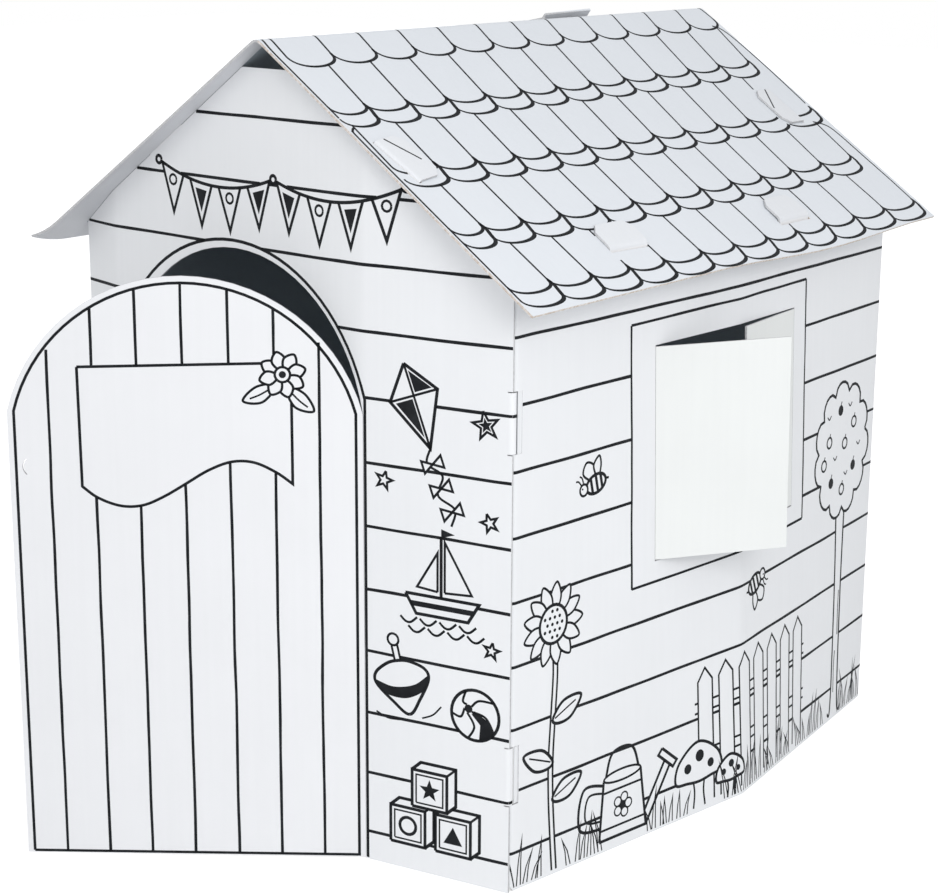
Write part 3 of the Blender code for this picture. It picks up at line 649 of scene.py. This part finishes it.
# Five rows of tiles a slope. Joints are the places along the ridge where two tiles meet, heights
# are down the slope, and each row bows and leans a little, as the printed sheet does. Below the
# first row, a tile shows two arcs, an inner one and an outer one a step lower
tiles = {"top": 0.002, "backEdge": 0.6205, "step": 0.0232, "fine": 0.0033, "inner": (0.0036, 0.0048),
         "outer": (0.0031, 0.0066), "powers": (0.95, 0.66), "front": -0.3796,
         "sides": ((0.002, -0.009, 0.0062), (0.0018, -0.0165, 0.0052)), "sideEnd": 0.0038,
         "bowMiddle": 0.05, "bowReach": (0.35, 0.55), "leanFrom": -0.3, "leanReach": 0.9,
         "overlap": 0.001, "border": 0.0032}
tileRows = [
    {"joints": (-0.3655, -0.2847, -0.2039, -0.1247, -0.0431, 0.041, 0.1218, 0.2044, 0.2888, 0.3691,
                0.4548, 0.5433, 0.624),
     "cusp": 0.0385, "bow": (0.0015, -0.0045), "lean": (-0.004, -0.008), "depth": 0.0225},
    {"joints": (-0.3796, -0.3151, -0.2368, -0.1606, -0.0809, -0.0025, 0.0766, 0.1582, 0.2427, 0.3268,
                0.4162, 0.5032, 0.5922),
     "cusp": 0.1385, "bow": (-0.002, -0.009), "lean": (-0.0062, -0.0158), "depth": 0.0172},
    {"joints": (-0.3725, -0.297, -0.2215, -0.1443, -0.0688, 0.01, 0.0912, 0.1728, 0.2525, 0.3402,
                0.428, 0.515, 0.6185),
     "cusp": 0.2555, "bow": (-0.005, -0.006), "lean": (-0.0035, -0.0135), "depth": 0.017},
    {"joints": (-0.3796, -0.3226, -0.2473, -0.1706, -0.0913, -0.0118, 0.0697, 0.1505, 0.2316, 0.3126,
                0.3972, 0.4877, 0.5825),
     "cusp": 0.366, "bow": (-0.005, -0.0075), "lean": (0.0, -0.006), "depth": 0.0165},
    {"joints": (-0.3796, -0.3035, -0.2238, -0.1462, -0.0686, 0.0182, 0.0984, 0.1837, 0.264, 0.345,
                0.4299, 0.5206, 0.6165),
     "cusp": 0.4715, "bow": (-0.006, -0.002), "lean": (0.001, 0.004), "depth": 0.0155}]
# The sheet's border: along the front, and from row to row along the back, each with its steps
tileBorder = [([(-0.3766, 0.004), (-0.3796, 0.03), (-0.3796, 0.09), (-0.3796, 0.157)], 4),
              ([(-0.3715, 0.1765), (-0.3775, 0.181), (-0.3796, 0.194), (-0.3796, 0.29),
                (-0.3796, 0.385)], 4),
              ([(-0.3796, 0.385), (-0.3796, 0.488)], 1),
              ([(0.6, 0.0495), (0.6135, 0.056), (0.6215, 0.08), (0.6235, 0.14), (0.6215, 0.2),
                (0.6185, 0.243)], 5),
              ([(0.5845, 0.2835), (0.6076, 0.2944), (0.6155, 0.315), (0.6165, 0.3737), (0.6175, 0.42),
                (0.6165, 0.47)], 5)]
# Where tabs lie on the roof: start and end along the ridge, top and foot down the slope
gableTabs = ((-0.352, -0.303), (0.507, 0.563))
eaveTabs = ((-0.149, -0.07), (0.244, 0.324))
tabSpots = {"gable": (0.2, 0.28), "eave": (0.416, 0.4605), "leftShift": 0.013,
            "ridgeFlaps": (0.112, -0.01, 0.398, 0.128)}


def bowed(row, across):
    # How far down the slope the row's bow moves a point
    off = across - tiles["bowMiddle"]
    side = 0 if off < 0.0 else 1
    return row["bow"][side] * (off / tiles["bowReach"][side]) ** 2


def arcDepth(share):
    # A tile's foot falls gently and comes back up fuller at its far end; share runs from 0 to 1
    power = tiles["powers"][0] + (tiles["powers"][1] - tiles["powers"][0]) * share
    return math.sin(math.pi * share) ** power


def tileArc(row, start, end, cusp, widths, steps=16):
    points = []
    for index in range(steps + 1):
        share = index / steps
        across = (start + end) / 2.0 - (end - start) / 2.0 * math.cos(math.pi * share)
        points.append((across, cusp + bowed(row, across) + row["depth"] * arcDepth(share),
                       widths[0] + (widths[1] - widths[0]) * share ** 2))
    return points


def footOf(number, across):
    # Where the row's lowest line passes, to hang the next row's side lines from
    row = tileRows[number]
    foot = row["cusp"] + (tiles["step"] if number else 0.0) + bowed(row, across)
    for start, end in zip(row["joints"], row["joints"][1:]):
        if start <= across <= end:
            cosine = ((start + end) / 2.0 - across) / ((end - start) / 2.0)
            return foot + row["depth"] * arcDepth(math.acos(cosine) / math.pi) - tiles["overlap"]
    return foot + row["depth"]


def drawTiles(panel):
    for number, row in enumerate(tileRows):
        joints = row["joints"]
        for index, joint in enumerate(joints):
            share = (joint - tiles["leanFrom"]) / tiles["leanReach"]
            across = joint - row["lean"][0] - (row["lean"][1] - row["lean"][0]) * share
            bow = bowed(row, joint)
            isLast = joint == joints[-1]
            if joint != tiles["front"] and not (isLast and number in (2, 4)):
                top = (min(across, tiles["backEdge"]), tiles["top"])
                if number:
                    top = (across, footOf(number - 1, across))
                line(panel, [top, (joint, row["cusp"] + bow)], tiles["fine"])
            if isLast:
                continue
            side = joints[index + 1]
            line(panel, tileArc(row, joint, side, row["cusp"], tiles["inner"]))
            if number:
                foot = row["cusp"] + tiles["step"]
                arc = tileArc(row, joint, side, foot, tiles["outer"])
                arc += [(side + out, foot + bow + rise, wide) for out, rise, wide in tiles["sides"]]
                line(panel, arc + [(side, row["cusp"] + bow, tiles["sideEnd"])])
    for points, steps in tileBorder:
        line(panel, smooth(points, steps=steps), tiles["border"])


def clearTabs(panel, gableShift):
    # No tile lines where the walls' tabs lie flat on the roof
    for number, (start, end) in enumerate(gableTabs):
        shift = 0.0 if number else gableShift
        cover(panel, box(start + shift, tabSpots["gable"][0], end + shift, tabSpots["gable"][1]))
    for start, end in eaveTabs:
        cover(panel, box(start, tabSpots["eave"][0], end, tabSpots["eave"][1]))


drawTiles(roofRight)
drawTiles(roofLeft)
clearTabs(roofRight, 0.0)
clearTabs(roofLeft, tabSpots["leftShift"])
cover(roofLeft, box(*tabSpots["ridgeFlaps"]))
print("Roof tiles are drawn")

# Figures on the walls and the door, in millimetres about a place on their panel
nibs = {"bold": 0.0042, "plain": 0.0031, "fine": 0.0022}


def figureAt(panel, across, up, size=1.0, turn=0.0):
    # Gives a brush for one figure, turned and sized. A style has the nib's name, "curved" for a soft
    # path, and what is drawn: a line, a loop, a solid of ink, or a strip or a shape, which are a
    # line and a loop that hide what stands behind them
    cosine, sine = math.cos(math.radians(turn)), math.sin(math.radians(turn))

    def brush(points, style=""):
        words = style.split()
        closed = not {"loop", "shape", "solid"}.isdisjoint(words)
        path = [(across + (x * cosine - y * sine) * size * 0.001,
                 up + (x * sine + y * cosine) * size * 0.001)
                for x, y in (smooth(points, closed) if "curved" in words else points)]
        if "solid" in words:
            blot(panel, path)
        else:
            nib = ([nibs[word] for word in words if word in nibs] + [nibs["plain"]])[0]
            (loop if closed else line)(panel, path, nib, "strip" in words or "shape" in words)

    return brush


def ring(x, y, radius, count=20, squeeze=1.0):
    turns = [2.0 * math.pi * index / count for index in range(count)]
    return [(x + radius * math.cos(turn), y + radius * squeeze * math.sin(turn)) for turn in turns]


def starPoints(radius):
    reaches = (radius, radius * 0.42)
    return [(reaches[index % 2] * math.sin(math.pi * index / 5),
             reaches[index % 2] * math.cos(math.pi * index / 5)) for index in range(10)]


def drawStar(panel, across, up, radius, turn, filled=False):
    brush = figureAt(panel, across, up, turn=turn)
    brush(starPoints(radius), "shape")
    if filled:
        brush(starPoints(radius * 0.55), "solid")


bunting = {"pegs": [(-0.246, 0.874), (-0.034, 0.866), (0.178, 0.874)], "sag": 0.022, "pennants": 4,
           "start": 0.12, "end": 0.88, "drop": 0.056, "ringDrop": 0.014, "ring": 0.0065, "inner": 0.52}


def drawBunting(panel):
    # Two swags of pennants across the gable, with a ring or a solid middle in turn
    for swag, (one, two) in enumerate(zip(bunting["pegs"], bunting["pegs"][1:])):
        def hung(share):
            drop = bunting["sag"] * 4.0 * share * (1.0 - share)
            return (one[0] + (two[0] - one[0]) * share, one[1] + (two[1] - one[1]) * share - drop)

        count = bunting["pennants"]
        for index in range(count):
            near = hung((index + bunting["start"]) / count)
            far = hung((index + bunting["end"]) / count)
            middle = ((near[0] + far[0]) / 2.0, (near[1] + far[1]) / 2.0)
            tip = (middle[0], middle[1] - bunting["drop"])
            line(panel, [near, tip, far], nibs["bold"], True)
            if (index + swag) % 2:
                inner = bunting["inner"]
                shift = [sum(values) / 3.0 * (1.0 - inner) for values in zip(near, far, tip)]
                blot(panel, [(p[0] * inner + shift[0], p[1] * inner + shift[1])
                             for p in (near, far, tip)])
            else:
                loop(panel, ring(middle[0], middle[1] - bunting["ringDrop"], bunting["ring"], 12),
                     nibs["plain"])
        line(panel, [hung(step / 24.0) for step in range(25)], nibs["bold"])
    for peg in bunting["pegs"]:
        figureAt(panel, *peg)(ring(0.0, 0.0, 5.0, 14), "bold shape")


def drawKite(panel, across, up, turn, size):
    brush = figureAt(panel, across, up, size, turn)
    brush([(0, -46), (-9, -60), (4, -76), (-8, -94), (6, -112), (-4, -128)], "curved")
    for x, y in ((-3, -62), (-2, -88), (2, -114)):
        brush([(x, y), (x + 12, y + 7), (x + 12, y - 6), (x, y)], "strip")
        brush([(x, y), (x - 12, y + 6), (x - 12, y - 7), (x, y)], "strip")
    brush([(0, 44), (29, 10), (0, -46), (-29, 10)], "bold shape")
    brush([(0, 44), (0, -46)])
    brush([(-29, 10), (29, 10)])
    brush([(2.5, 13), (2.5, 36), (23, 13)], "solid")
    brush([(-2.5, 7), (-2.5, -34), (-23, 7)], "solid")


def drawBoat(panel, across, up, size):
    brush = figureAt(panel, across, up, size)
    brush([(0, 0), (0, 62)], "bold")
    brush([(4, 6), (4, 58), (34, 8)], "shape")
    brush([(-4, 6), (-4, 46), (-27, 8)], "shape")
    brush([(0, 62), (15, 67), (0, 71)], "solid")
    brush([(-40, 0), (42, 0), (30, -20), (-28, -20)], "bold shape")
    brush([(-36, -7), (37, -7), (34, -12.5), (-33, -12.5)], "solid")
    for start, y in ((-46, -25), (-37, -34)):
        for x in range(start, start + 88, 22):
            brush([(x, y), (x + 6, y - 5), (x + 12, y - 5), (x + 19, y + 1)], "curved")


def drawTop(panel, across, up, turn, size):
    # A spinning top with a turned handle and a solid band
    brush = figureAt(panel, across, up, size, turn)
    brush([(-3.5, 18), (-3.5, 38), (3.5, 38), (3.5, 18)], "strip")
    brush(ring(0, 42, 6.5, 16), "shape")
    brush([(0, -40), (-17, -24), (-32, -4), (-30, 8), (-14, 17), (0, 19), (14, 17), (30, 8),
           (32, -4), (17, -24)], "bold curved shape")
    brush([(-32, -1), (-16, -9), (0, -11), (16, -9), (32, -1)], "curved")
    brush([(-25, -14), (-12, -19), (0, -21), (12, -19), (25, -14)], "curved")
    brush(smooth([(-32, -2), (-16, -10), (0, -12), (16, -10), (32, -2)])
          + smooth([(26, -12.5), (12, -18), (0, -20), (-12, -18), (-26, -12.5)]), "solid")
    for side in (-1, 1):
        brush([(40 * side, -34), (28 * side, -42), (14 * side, -45)], "fine curved")


def drawBall(panel, across, up, radius):
    brush = figureAt(panel, across, up, radius / 30.0, 18)
    brush(ring(0, 0, 30, 36), "bold shape")
    brush(ring(-6, 9, 5, 14), "solid")
    for angle in (20, 95, 165, 235, 305):
        way, bend = math.radians(angle), math.radians(angle + 24)
        brush([(-6 + 5 * math.cos(way), 9 + 5 * math.sin(way)),
               (-2 + 17 * math.cos(bend), 4 + 17 * math.sin(bend)),
               (30 * math.cos(way), 30 * math.sin(way))], "curved")
    brush([(-4, 2), (3, -12), (-4, -29), (8, -28.5), (17, -24), (13, -8), (1, 5)], "solid")


def drawBlocks(panel, across, up, size):
    brush = figureAt(panel, across, up, size)
    for x, y, mark in ((-47, 0, "ring"), (9, 0, "peak"), (-20, 47, "star")):
        brush([(x, y + 43), (x + 11, y + 53), (x + 54, y + 53), (x + 54, y + 10), (x + 43, y)],
              "bold strip")
        brush([(x + 43, y + 43), (x + 54, y + 53)])
        brush(box(x, y, x + 43, y + 43), "bold shape")
        brush(box(x + 5, y + 5, x + 38, y + 38), "fine loop")
        if mark == "ring":
            brush(ring(x + 21.5, y + 21.5, 10), "bold loop")
        elif mark == "peak":
            brush([(x + 10, y + 12), (x + 33, y + 12), (x + 21.5, y + 32)], "solid")
        else:
            brush([(x + 21.5 + px, y + 21.5 + py) for px, py in starPoints(13)], "solid")


def drawPetals(brush, middle, count, start, outline):
    # Petals round a flower; the outline of one goes out from the middle and aside
    for index in range(count):
        angle = 2.0 * math.pi * (index + start) / count
        x, y = math.cos(angle), math.sin(angle)
        brush([(x * out - y * aside, middle + y * out + x * aside) for out, aside in outline],
              "curved shape")


def drawSunflower(panel, across, up, height):
    brush = figureAt(panel, across, up)
    stem = smooth([(3, 0), (-4, height * 0.4), (4, height * 0.8), (0, height)])
    brush([(x - 4, y) for x, y in stem] + [(x + 4, y) for x, y in reversed(stem)], "strip")
    for side, y in ((1, height * 0.3), (-1, height * 0.45), (1, height * 0.62)):
        brush([(0, y), (side * 20, y + 20), (side * 52, y + 20), (side * 34, y - 4), (side * 10, y - 8)],
              "bold curved shape")
        brush([(side * 4, y), (side * 24, y + 8), (side * 42, y + 15)], "fine curved")
    drawPetals(brush, height, 13, 0, ((22, -6), (38, -9.5), (54, 0), (38, 9.5), (22, 6)))
    brush(ring(0, height, 25, 28), "bold shape")
    for x in range(-2, 3):
        for y in range(-2, 3):
            spot = (x * 9 + (y % 2) * 4.5 - 2, y * 8.5)
            if math.hypot(*spot) < 20:
                brush(ring(spot[0], height + spot[1], 2.4, 8), "solid")


def drawCan(panel, across, up, size):
    # A watering can
    brush = figureAt(panel, across, up, size)
    brush([(-30, 14), (-62, 22), (-56, 62), (-24, 58)], "bold curved")
    brush([(-30, 22), (-53, 28), (-49, 53), (-24, 50)], "curved")
    brush([(-24, 66), (-14, 90), (14, 90), (24, 66)], "bold curved")
    brush([(30, 12), (66, 64), (74, 58), (34, 0)], "bold strip")
    brush([(60, 74), (82, 56), (76, 50), (54, 68)], "bold shape")
    brush([(-34, 0), (34, 0), (27, 64), (-27, 64)], "bold shape")
    brush(ring(0, 64, 27, 24, 0.22), "shape")
    brush([(-32.5, 11), (32.5, 11)])
    brush([(-29, 50), (29, 50)])
    for x, y in ring(0, 31, 8.5, 5):
        brush(ring(x, y, 5.0, 12), "fine loop")
    brush(ring(0, 31, 4.2, 12), "solid")


fence = {"picket": 0.030, "gap": 0.014, "rails": (0.32, 0.68), "rail": 0.014, "peak": 0.018}


def drawFence(panel, start, end, height, foot):
    width, pitch = fence["picket"], fence["picket"] + fence["gap"]
    count = int((end - start) / pitch)
    end = start + count * pitch
    for share in fence["rails"]:
        level = foot + height * share
        cover(panel, box(start, level, end, level + fence["rail"]))
        for edge in (level, level + fence["rail"]):
            line(panel, [(start, edge), (end, edge)], nibs["plain"])
    for index in range(count):
        x = start + fence["gap"] / 2.0 + index * pitch
        shoulder = foot + height - fence["peak"]
        picket = [(x, foot), (x, shoulder), (x + width / 2.0, foot + height), (x + width, shoulder),
                  (x + width, foot)]
        line(panel, picket, nibs["plain"], True)


def drawToadstool(panel, across, up, size):
    brush = figureAt(panel, across, up, size)
    brush(smooth([(-9, 0), (-7, 18), (-10, 36)]) + smooth([(10, 36), (7, 18), (9, 0)]), "strip")
    brush([(-36, 34), (-30, 56), (0, 72), (30, 56), (36, 34), (18, 30), (0, 28), (-18, 30)],
          "bold curved shape")
    for x, y, radius in ((-17, 46, 5.5), (2, 56, 6.5), (19, 44, 5)):
        brush(ring(x, y, radius, 14), "solid")


def drawTree(panel, across, up, trunk, crown, lobes=11):
    # An apple tree: trunk, scalloped crown and fruit
    brush = figureAt(panel, across, up)
    brush(smooth([(-24, 0), (-13, 14), (-11, trunk * 0.6), (-15, trunk + 8)])
          + smooth([(15, trunk + 8), (11, trunk * 0.6), (13, 14), (26, 0)]), "bold strip")
    brush([(-3, 30), (-4, 70), (-2, 96)], "fine curved")
    brush([(5, 120), (4, 160), (5, 190)], "fine curved")
    middle = trunk + crown * 0.9
    outline = []
    for index in range(lobes * 6):
        angle = 2.0 * math.pi * index / 6.0 / lobes + 0.2
        bulge = 0.86 + 0.14 * math.sin(math.pi * (index % 6) / 6.0) ** 0.6
        outline.append((crown * bulge * math.cos(angle),
                        middle + crown * 1.12 * bulge * math.sin(angle)))
    brush(outline, "bold shape")
    share = crown / 88.0
    for x, y, filled in ((-42, 18, False), (-8, 58, True), (36, 34, False), (8, 8, False),
                         (-34, -42, True), (38, -30, True), (2, -58, False), (-58, -12, False)):
        x, y = x * share, middle + y * share
        brush(ring(x, y, 8, 16), "solid" if filled else "loop")
        brush([(x, y + 7), (x + 3, y + 13)], "fine")
    for x, y in ((-22, -6), (22, 64), (-44, 56), (54, 2), (14, -34)):
        x, y = x * share, middle + y * share
        brush([(x - 6, y), (x, y - 5), (x + 6, y)], "fine curved")


def drawBee(panel, across, up, turn, size=1.0):
    brush = figureAt(panel, across, up, size, turn)
    for x, tilt in ((-4, -1), (5, 1)):
        brush([(x, 6), (x + 13 * tilt - 4, 20), (x + 8 * tilt, 33), (x - 5 * tilt, 24)],
              "curved shape")
    brush(ring(0, 0, 19, 26, 0.62), "bold shape")
    for x in (-8.5, 1.5, 10.5):
        half = 11.0 * math.sqrt(1.0 - (x / 19.0) ** 2)
        brush(box(x - 2.3, -half, x + 2.3, half), "solid")
    brush(ring(-24, 1, 7.5, 16), "shape")
    brush(ring(-26, 3, 1.4, 8), "solid")
    brush([(-27, 8), (-31, 15), (-36, 17)], "fine curved")
    brush([(-23, 9), (-24, 17), (-28, 21)], "fine curved")
    brush([(19, 0), (25, -2)])


grass = {"scatter": 0.004, "heights": (0.028, 0.062), "lean": 0.016, "blade": 0.0035, "foot": 0.004,
         "nib": 0.0018, "tipNib": 0.0014, "seed": 40}


def drawGrass(panel, across, count, spread, seed):
    picks = random.Random(seed)
    foot, nib, width = grass["foot"], grass["nib"], grass["blade"]
    for index in range(count):
        x = across + spread * (index / max(1, count - 1) - 0.5)
        x += picks.uniform(-grass["scatter"], grass["scatter"])
        height = picks.uniform(*grass["heights"])
        lean = picks.uniform(-grass["lean"], grass["lean"])
        bend = (x + lean * 0.35, foot + height * 0.55)
        line(panel, [(x - width, foot, nib), (bend[0] - width * 0.6, bend[1], nib),
                     (x + lean, foot + height, grass["tipNib"]),
                     (bend[0] + width * 0.6, bend[1], nib), (x + width, foot, nib)])


def drawDaisy(panel, across, up, size, turn):
    brush = figureAt(panel, across, up, size, turn)
    for side in (-1, 1):
        brush([(side * 6, -14), (side * 20, -38), (side * 44, -40), (side * 30, -20)], "curved shape")
        brush([(side * 9, -17), (side * 24, -29), (side * 36, -36)], "fine curved")
    drawPetals(brush, 0, 8, 0.5, ((8, -3.5), (19, -8.5), (29, 0), (19, 8.5), (8, 3.5)))
    brush(ring(0, 0, 9.5, 18), "shape")
    brush(ring(0, 0, 4.5, 12), "solid")


drawBunting(front)
drawKite(front, 0.192, 0.612, 20, 1.2)
drawStar(front, 0.286, 0.598, 18, 12, True)
drawStar(front, 0.146, 0.512, 12, -14)
drawBoat(front, 0.226, 0.372, 1.25)
drawStar(front, 0.292, 0.478, 12, 20)
drawTop(front, 0.170, 0.258, 14, 1.2)
drawBall(front, 0.274, 0.228, 33)
drawStar(front, 0.296, 0.316, 11, -8)
drawBlocks(front, 0.208, 0.034, 1.16)
drawSunflower(right, -0.255, 0.006, 330)
drawCan(right, -0.125, 0.016, 1.3)
drawFence(right, 0.020, 0.360, 0.190, 0.012)
drawToadstool(right, 0.026, 0.008, 1.3)
drawToadstool(right, 0.092, 0.004, 0.85)
drawTree(right, 0.448, 0.012, 325, 92)
drawBee(right, -0.175, 0.500, 12)
drawBee(right, 0.165, 0.290, -160, 1.05)
for number, (place, count, spread) in enumerate((
        (-0.300, 5, 0.05), (-0.195, 6, 0.06), (-0.040, 7, 0.07), (0.130, 8, 0.09), (0.235, 7, 0.08),
        (0.355, 8, 0.09), (0.505, 9, 0.08))):
    drawGrass(right, place, count, spread, grass["seed"] + number)
drawDaisy(doorPanel, 0.098, 0.640, 1.0, 8)
print("Figures are drawn")


def inkMaterial():
    # Black ink, a little thinner where the plate pressed less
    made, tree, shader = material("printInk", ink["roughness"])
    shader.inputs["Specular IOR Level"].default_value = ink["specular"]
    colourFrom(tree, noiseOn(tree, ink["scale"], ink["detail"]), shader, (ink["deep"], ink["thin"]))
    return made


inkLook = inkMaterial()
for panel in panels:
    printPanel(panel, inkLook)

floorLook = {"size": 14.0, "drop": 0.0005, "grey": 0.8, "roughness": 0.95, "specular": 0.1,
             "whitened": 0.6}
lighting = {"worldColour": (0.97, 0.985, 1.0), "worldStrength": 0.69, "sunStrength": 0.6,
            "sunAngle": 50.0, "sunFrom": (0.25, -0.8, 0.5), "lampPower": 17.5, "lampSize": 1.0,
            "lampAt": (2.1, -1.3, 1.5), "lampAim": (0.1, 0.0, 0.5)}
shot = {"place": (1.784246, -2.30300, 1.2102), "right": (0.7893, 0.6139, 0.005),
        "up": (-0.1575, 0.1947, 0.9681), "lens": 82.18, "sensor": 36.0}
white = (1.0, 1.0, 1.0, 1.0)


def directSight(tree):
    # 1 where the camera, a gloss or a clear piece looks at it, and 0 for its light on things
    path = addNode(tree, "ShaderNodeLightPath")
    sight = (path, "Is Camera Ray")
    for ray in ("Is Glossy Ray", "Is Transmission Ray"):
        most = addNode(tree, "ShaderNodeMath", {0: sight, 1: (path, ray)}, operation="MAXIMUM")
        sight = (most, "Value")
    return sight


def stageFloor():
    mesh = bmesh.new()
    bmesh.ops.create_grid(mesh, x_segments=1, y_segments=1, size=floorLook["size"])
    bmesh.ops.translate(mesh, verts=mesh.verts, vec=(0.0, 0.0, -floorLook["drop"]))
    made, tree, shader = material("floorPaper", floorLook["roughness"])
    shader.inputs["Base Color"].default_value = (*[floorLook["grey"]] * 3, 1.0)
    shader.inputs["Specular IOR Level"].default_value = floorLook["specular"]
    shader.inputs["Emission Color"].default_value = white
    lift = addNode(tree, "ShaderNodeMath", {0: directSight(tree), 1: floorLook["whitened"]},
                   operation="MULTIPLY")
    join(tree, lift, "Value", shader, "Emission Strength")
    newPiece("studioFloor", mesh, [made])


def studioLight():
    scene = bpy.context.scene
    scene.world = bpy.data.worlds.new("studio")
    scene.world.use_nodes = True
    tree = scene.world.node_tree
    base = tree.nodes["Background"]
    base.inputs["Color"].default_value = (*lighting["worldColour"], 1.0)
    base.inputs["Strength"].default_value = lighting["worldStrength"]
    seen = addNode(tree, "ShaderNodeBackground", {"Color": white, "Strength": 1.0})
    mix = addNode(tree, "ShaderNodeMixShader", {0: directSight(tree), 1: (base, "Background"),
                                                2: (seen, "Background")})
    join(tree, mix, "Shader", tree.nodes["World Output"], "Surface")
    sun = bpy.data.lights.new("softKey", "SUN")
    sun.energy = lighting["sunStrength"]
    sun.angle = math.radians(lighting["sunAngle"])
    key = newObject("softKey", sun)
    key.rotation_euler = Vector(lighting["sunFrom"]).to_track_quat("Z", "Y").to_euler()
    area = bpy.data.lights.new("nearPanel", "AREA")
    area.energy = lighting["lampPower"]
    area.size = lighting["lampSize"]
    near = newObject("nearPanel", area)
    near.location = lighting["lampAt"]
    towards = Vector(lighting["lampAim"]) - Vector(lighting["lampAt"])
    near.rotation_euler = towards.to_track_quat("-Z", "Y").to_euler()


def photoCamera():
    data = bpy.data.cameras.new("photoCamera")
    data.lens = shot["lens"]
    data.sensor_width = shot["sensor"]
    camera = newObject("photoCamera", data)
    along = Vector(shot["right"]).normalized()
    behind = along.cross(Vector(shot["up"])).normalized()
    turn = Matrix((along, behind.cross(along), behind)).transposed()
    camera.matrix_world = Matrix.Translation(shot["place"]) @ turn.to_4x4()
    bpy.context.scene.camera = camera


stageFloor()
studioLight()
photoCamera()
bpy.context.scene.view_settings.view_transform = "Standard"
print("Floor, lamps and camera are in place")


print("Scene is ready")
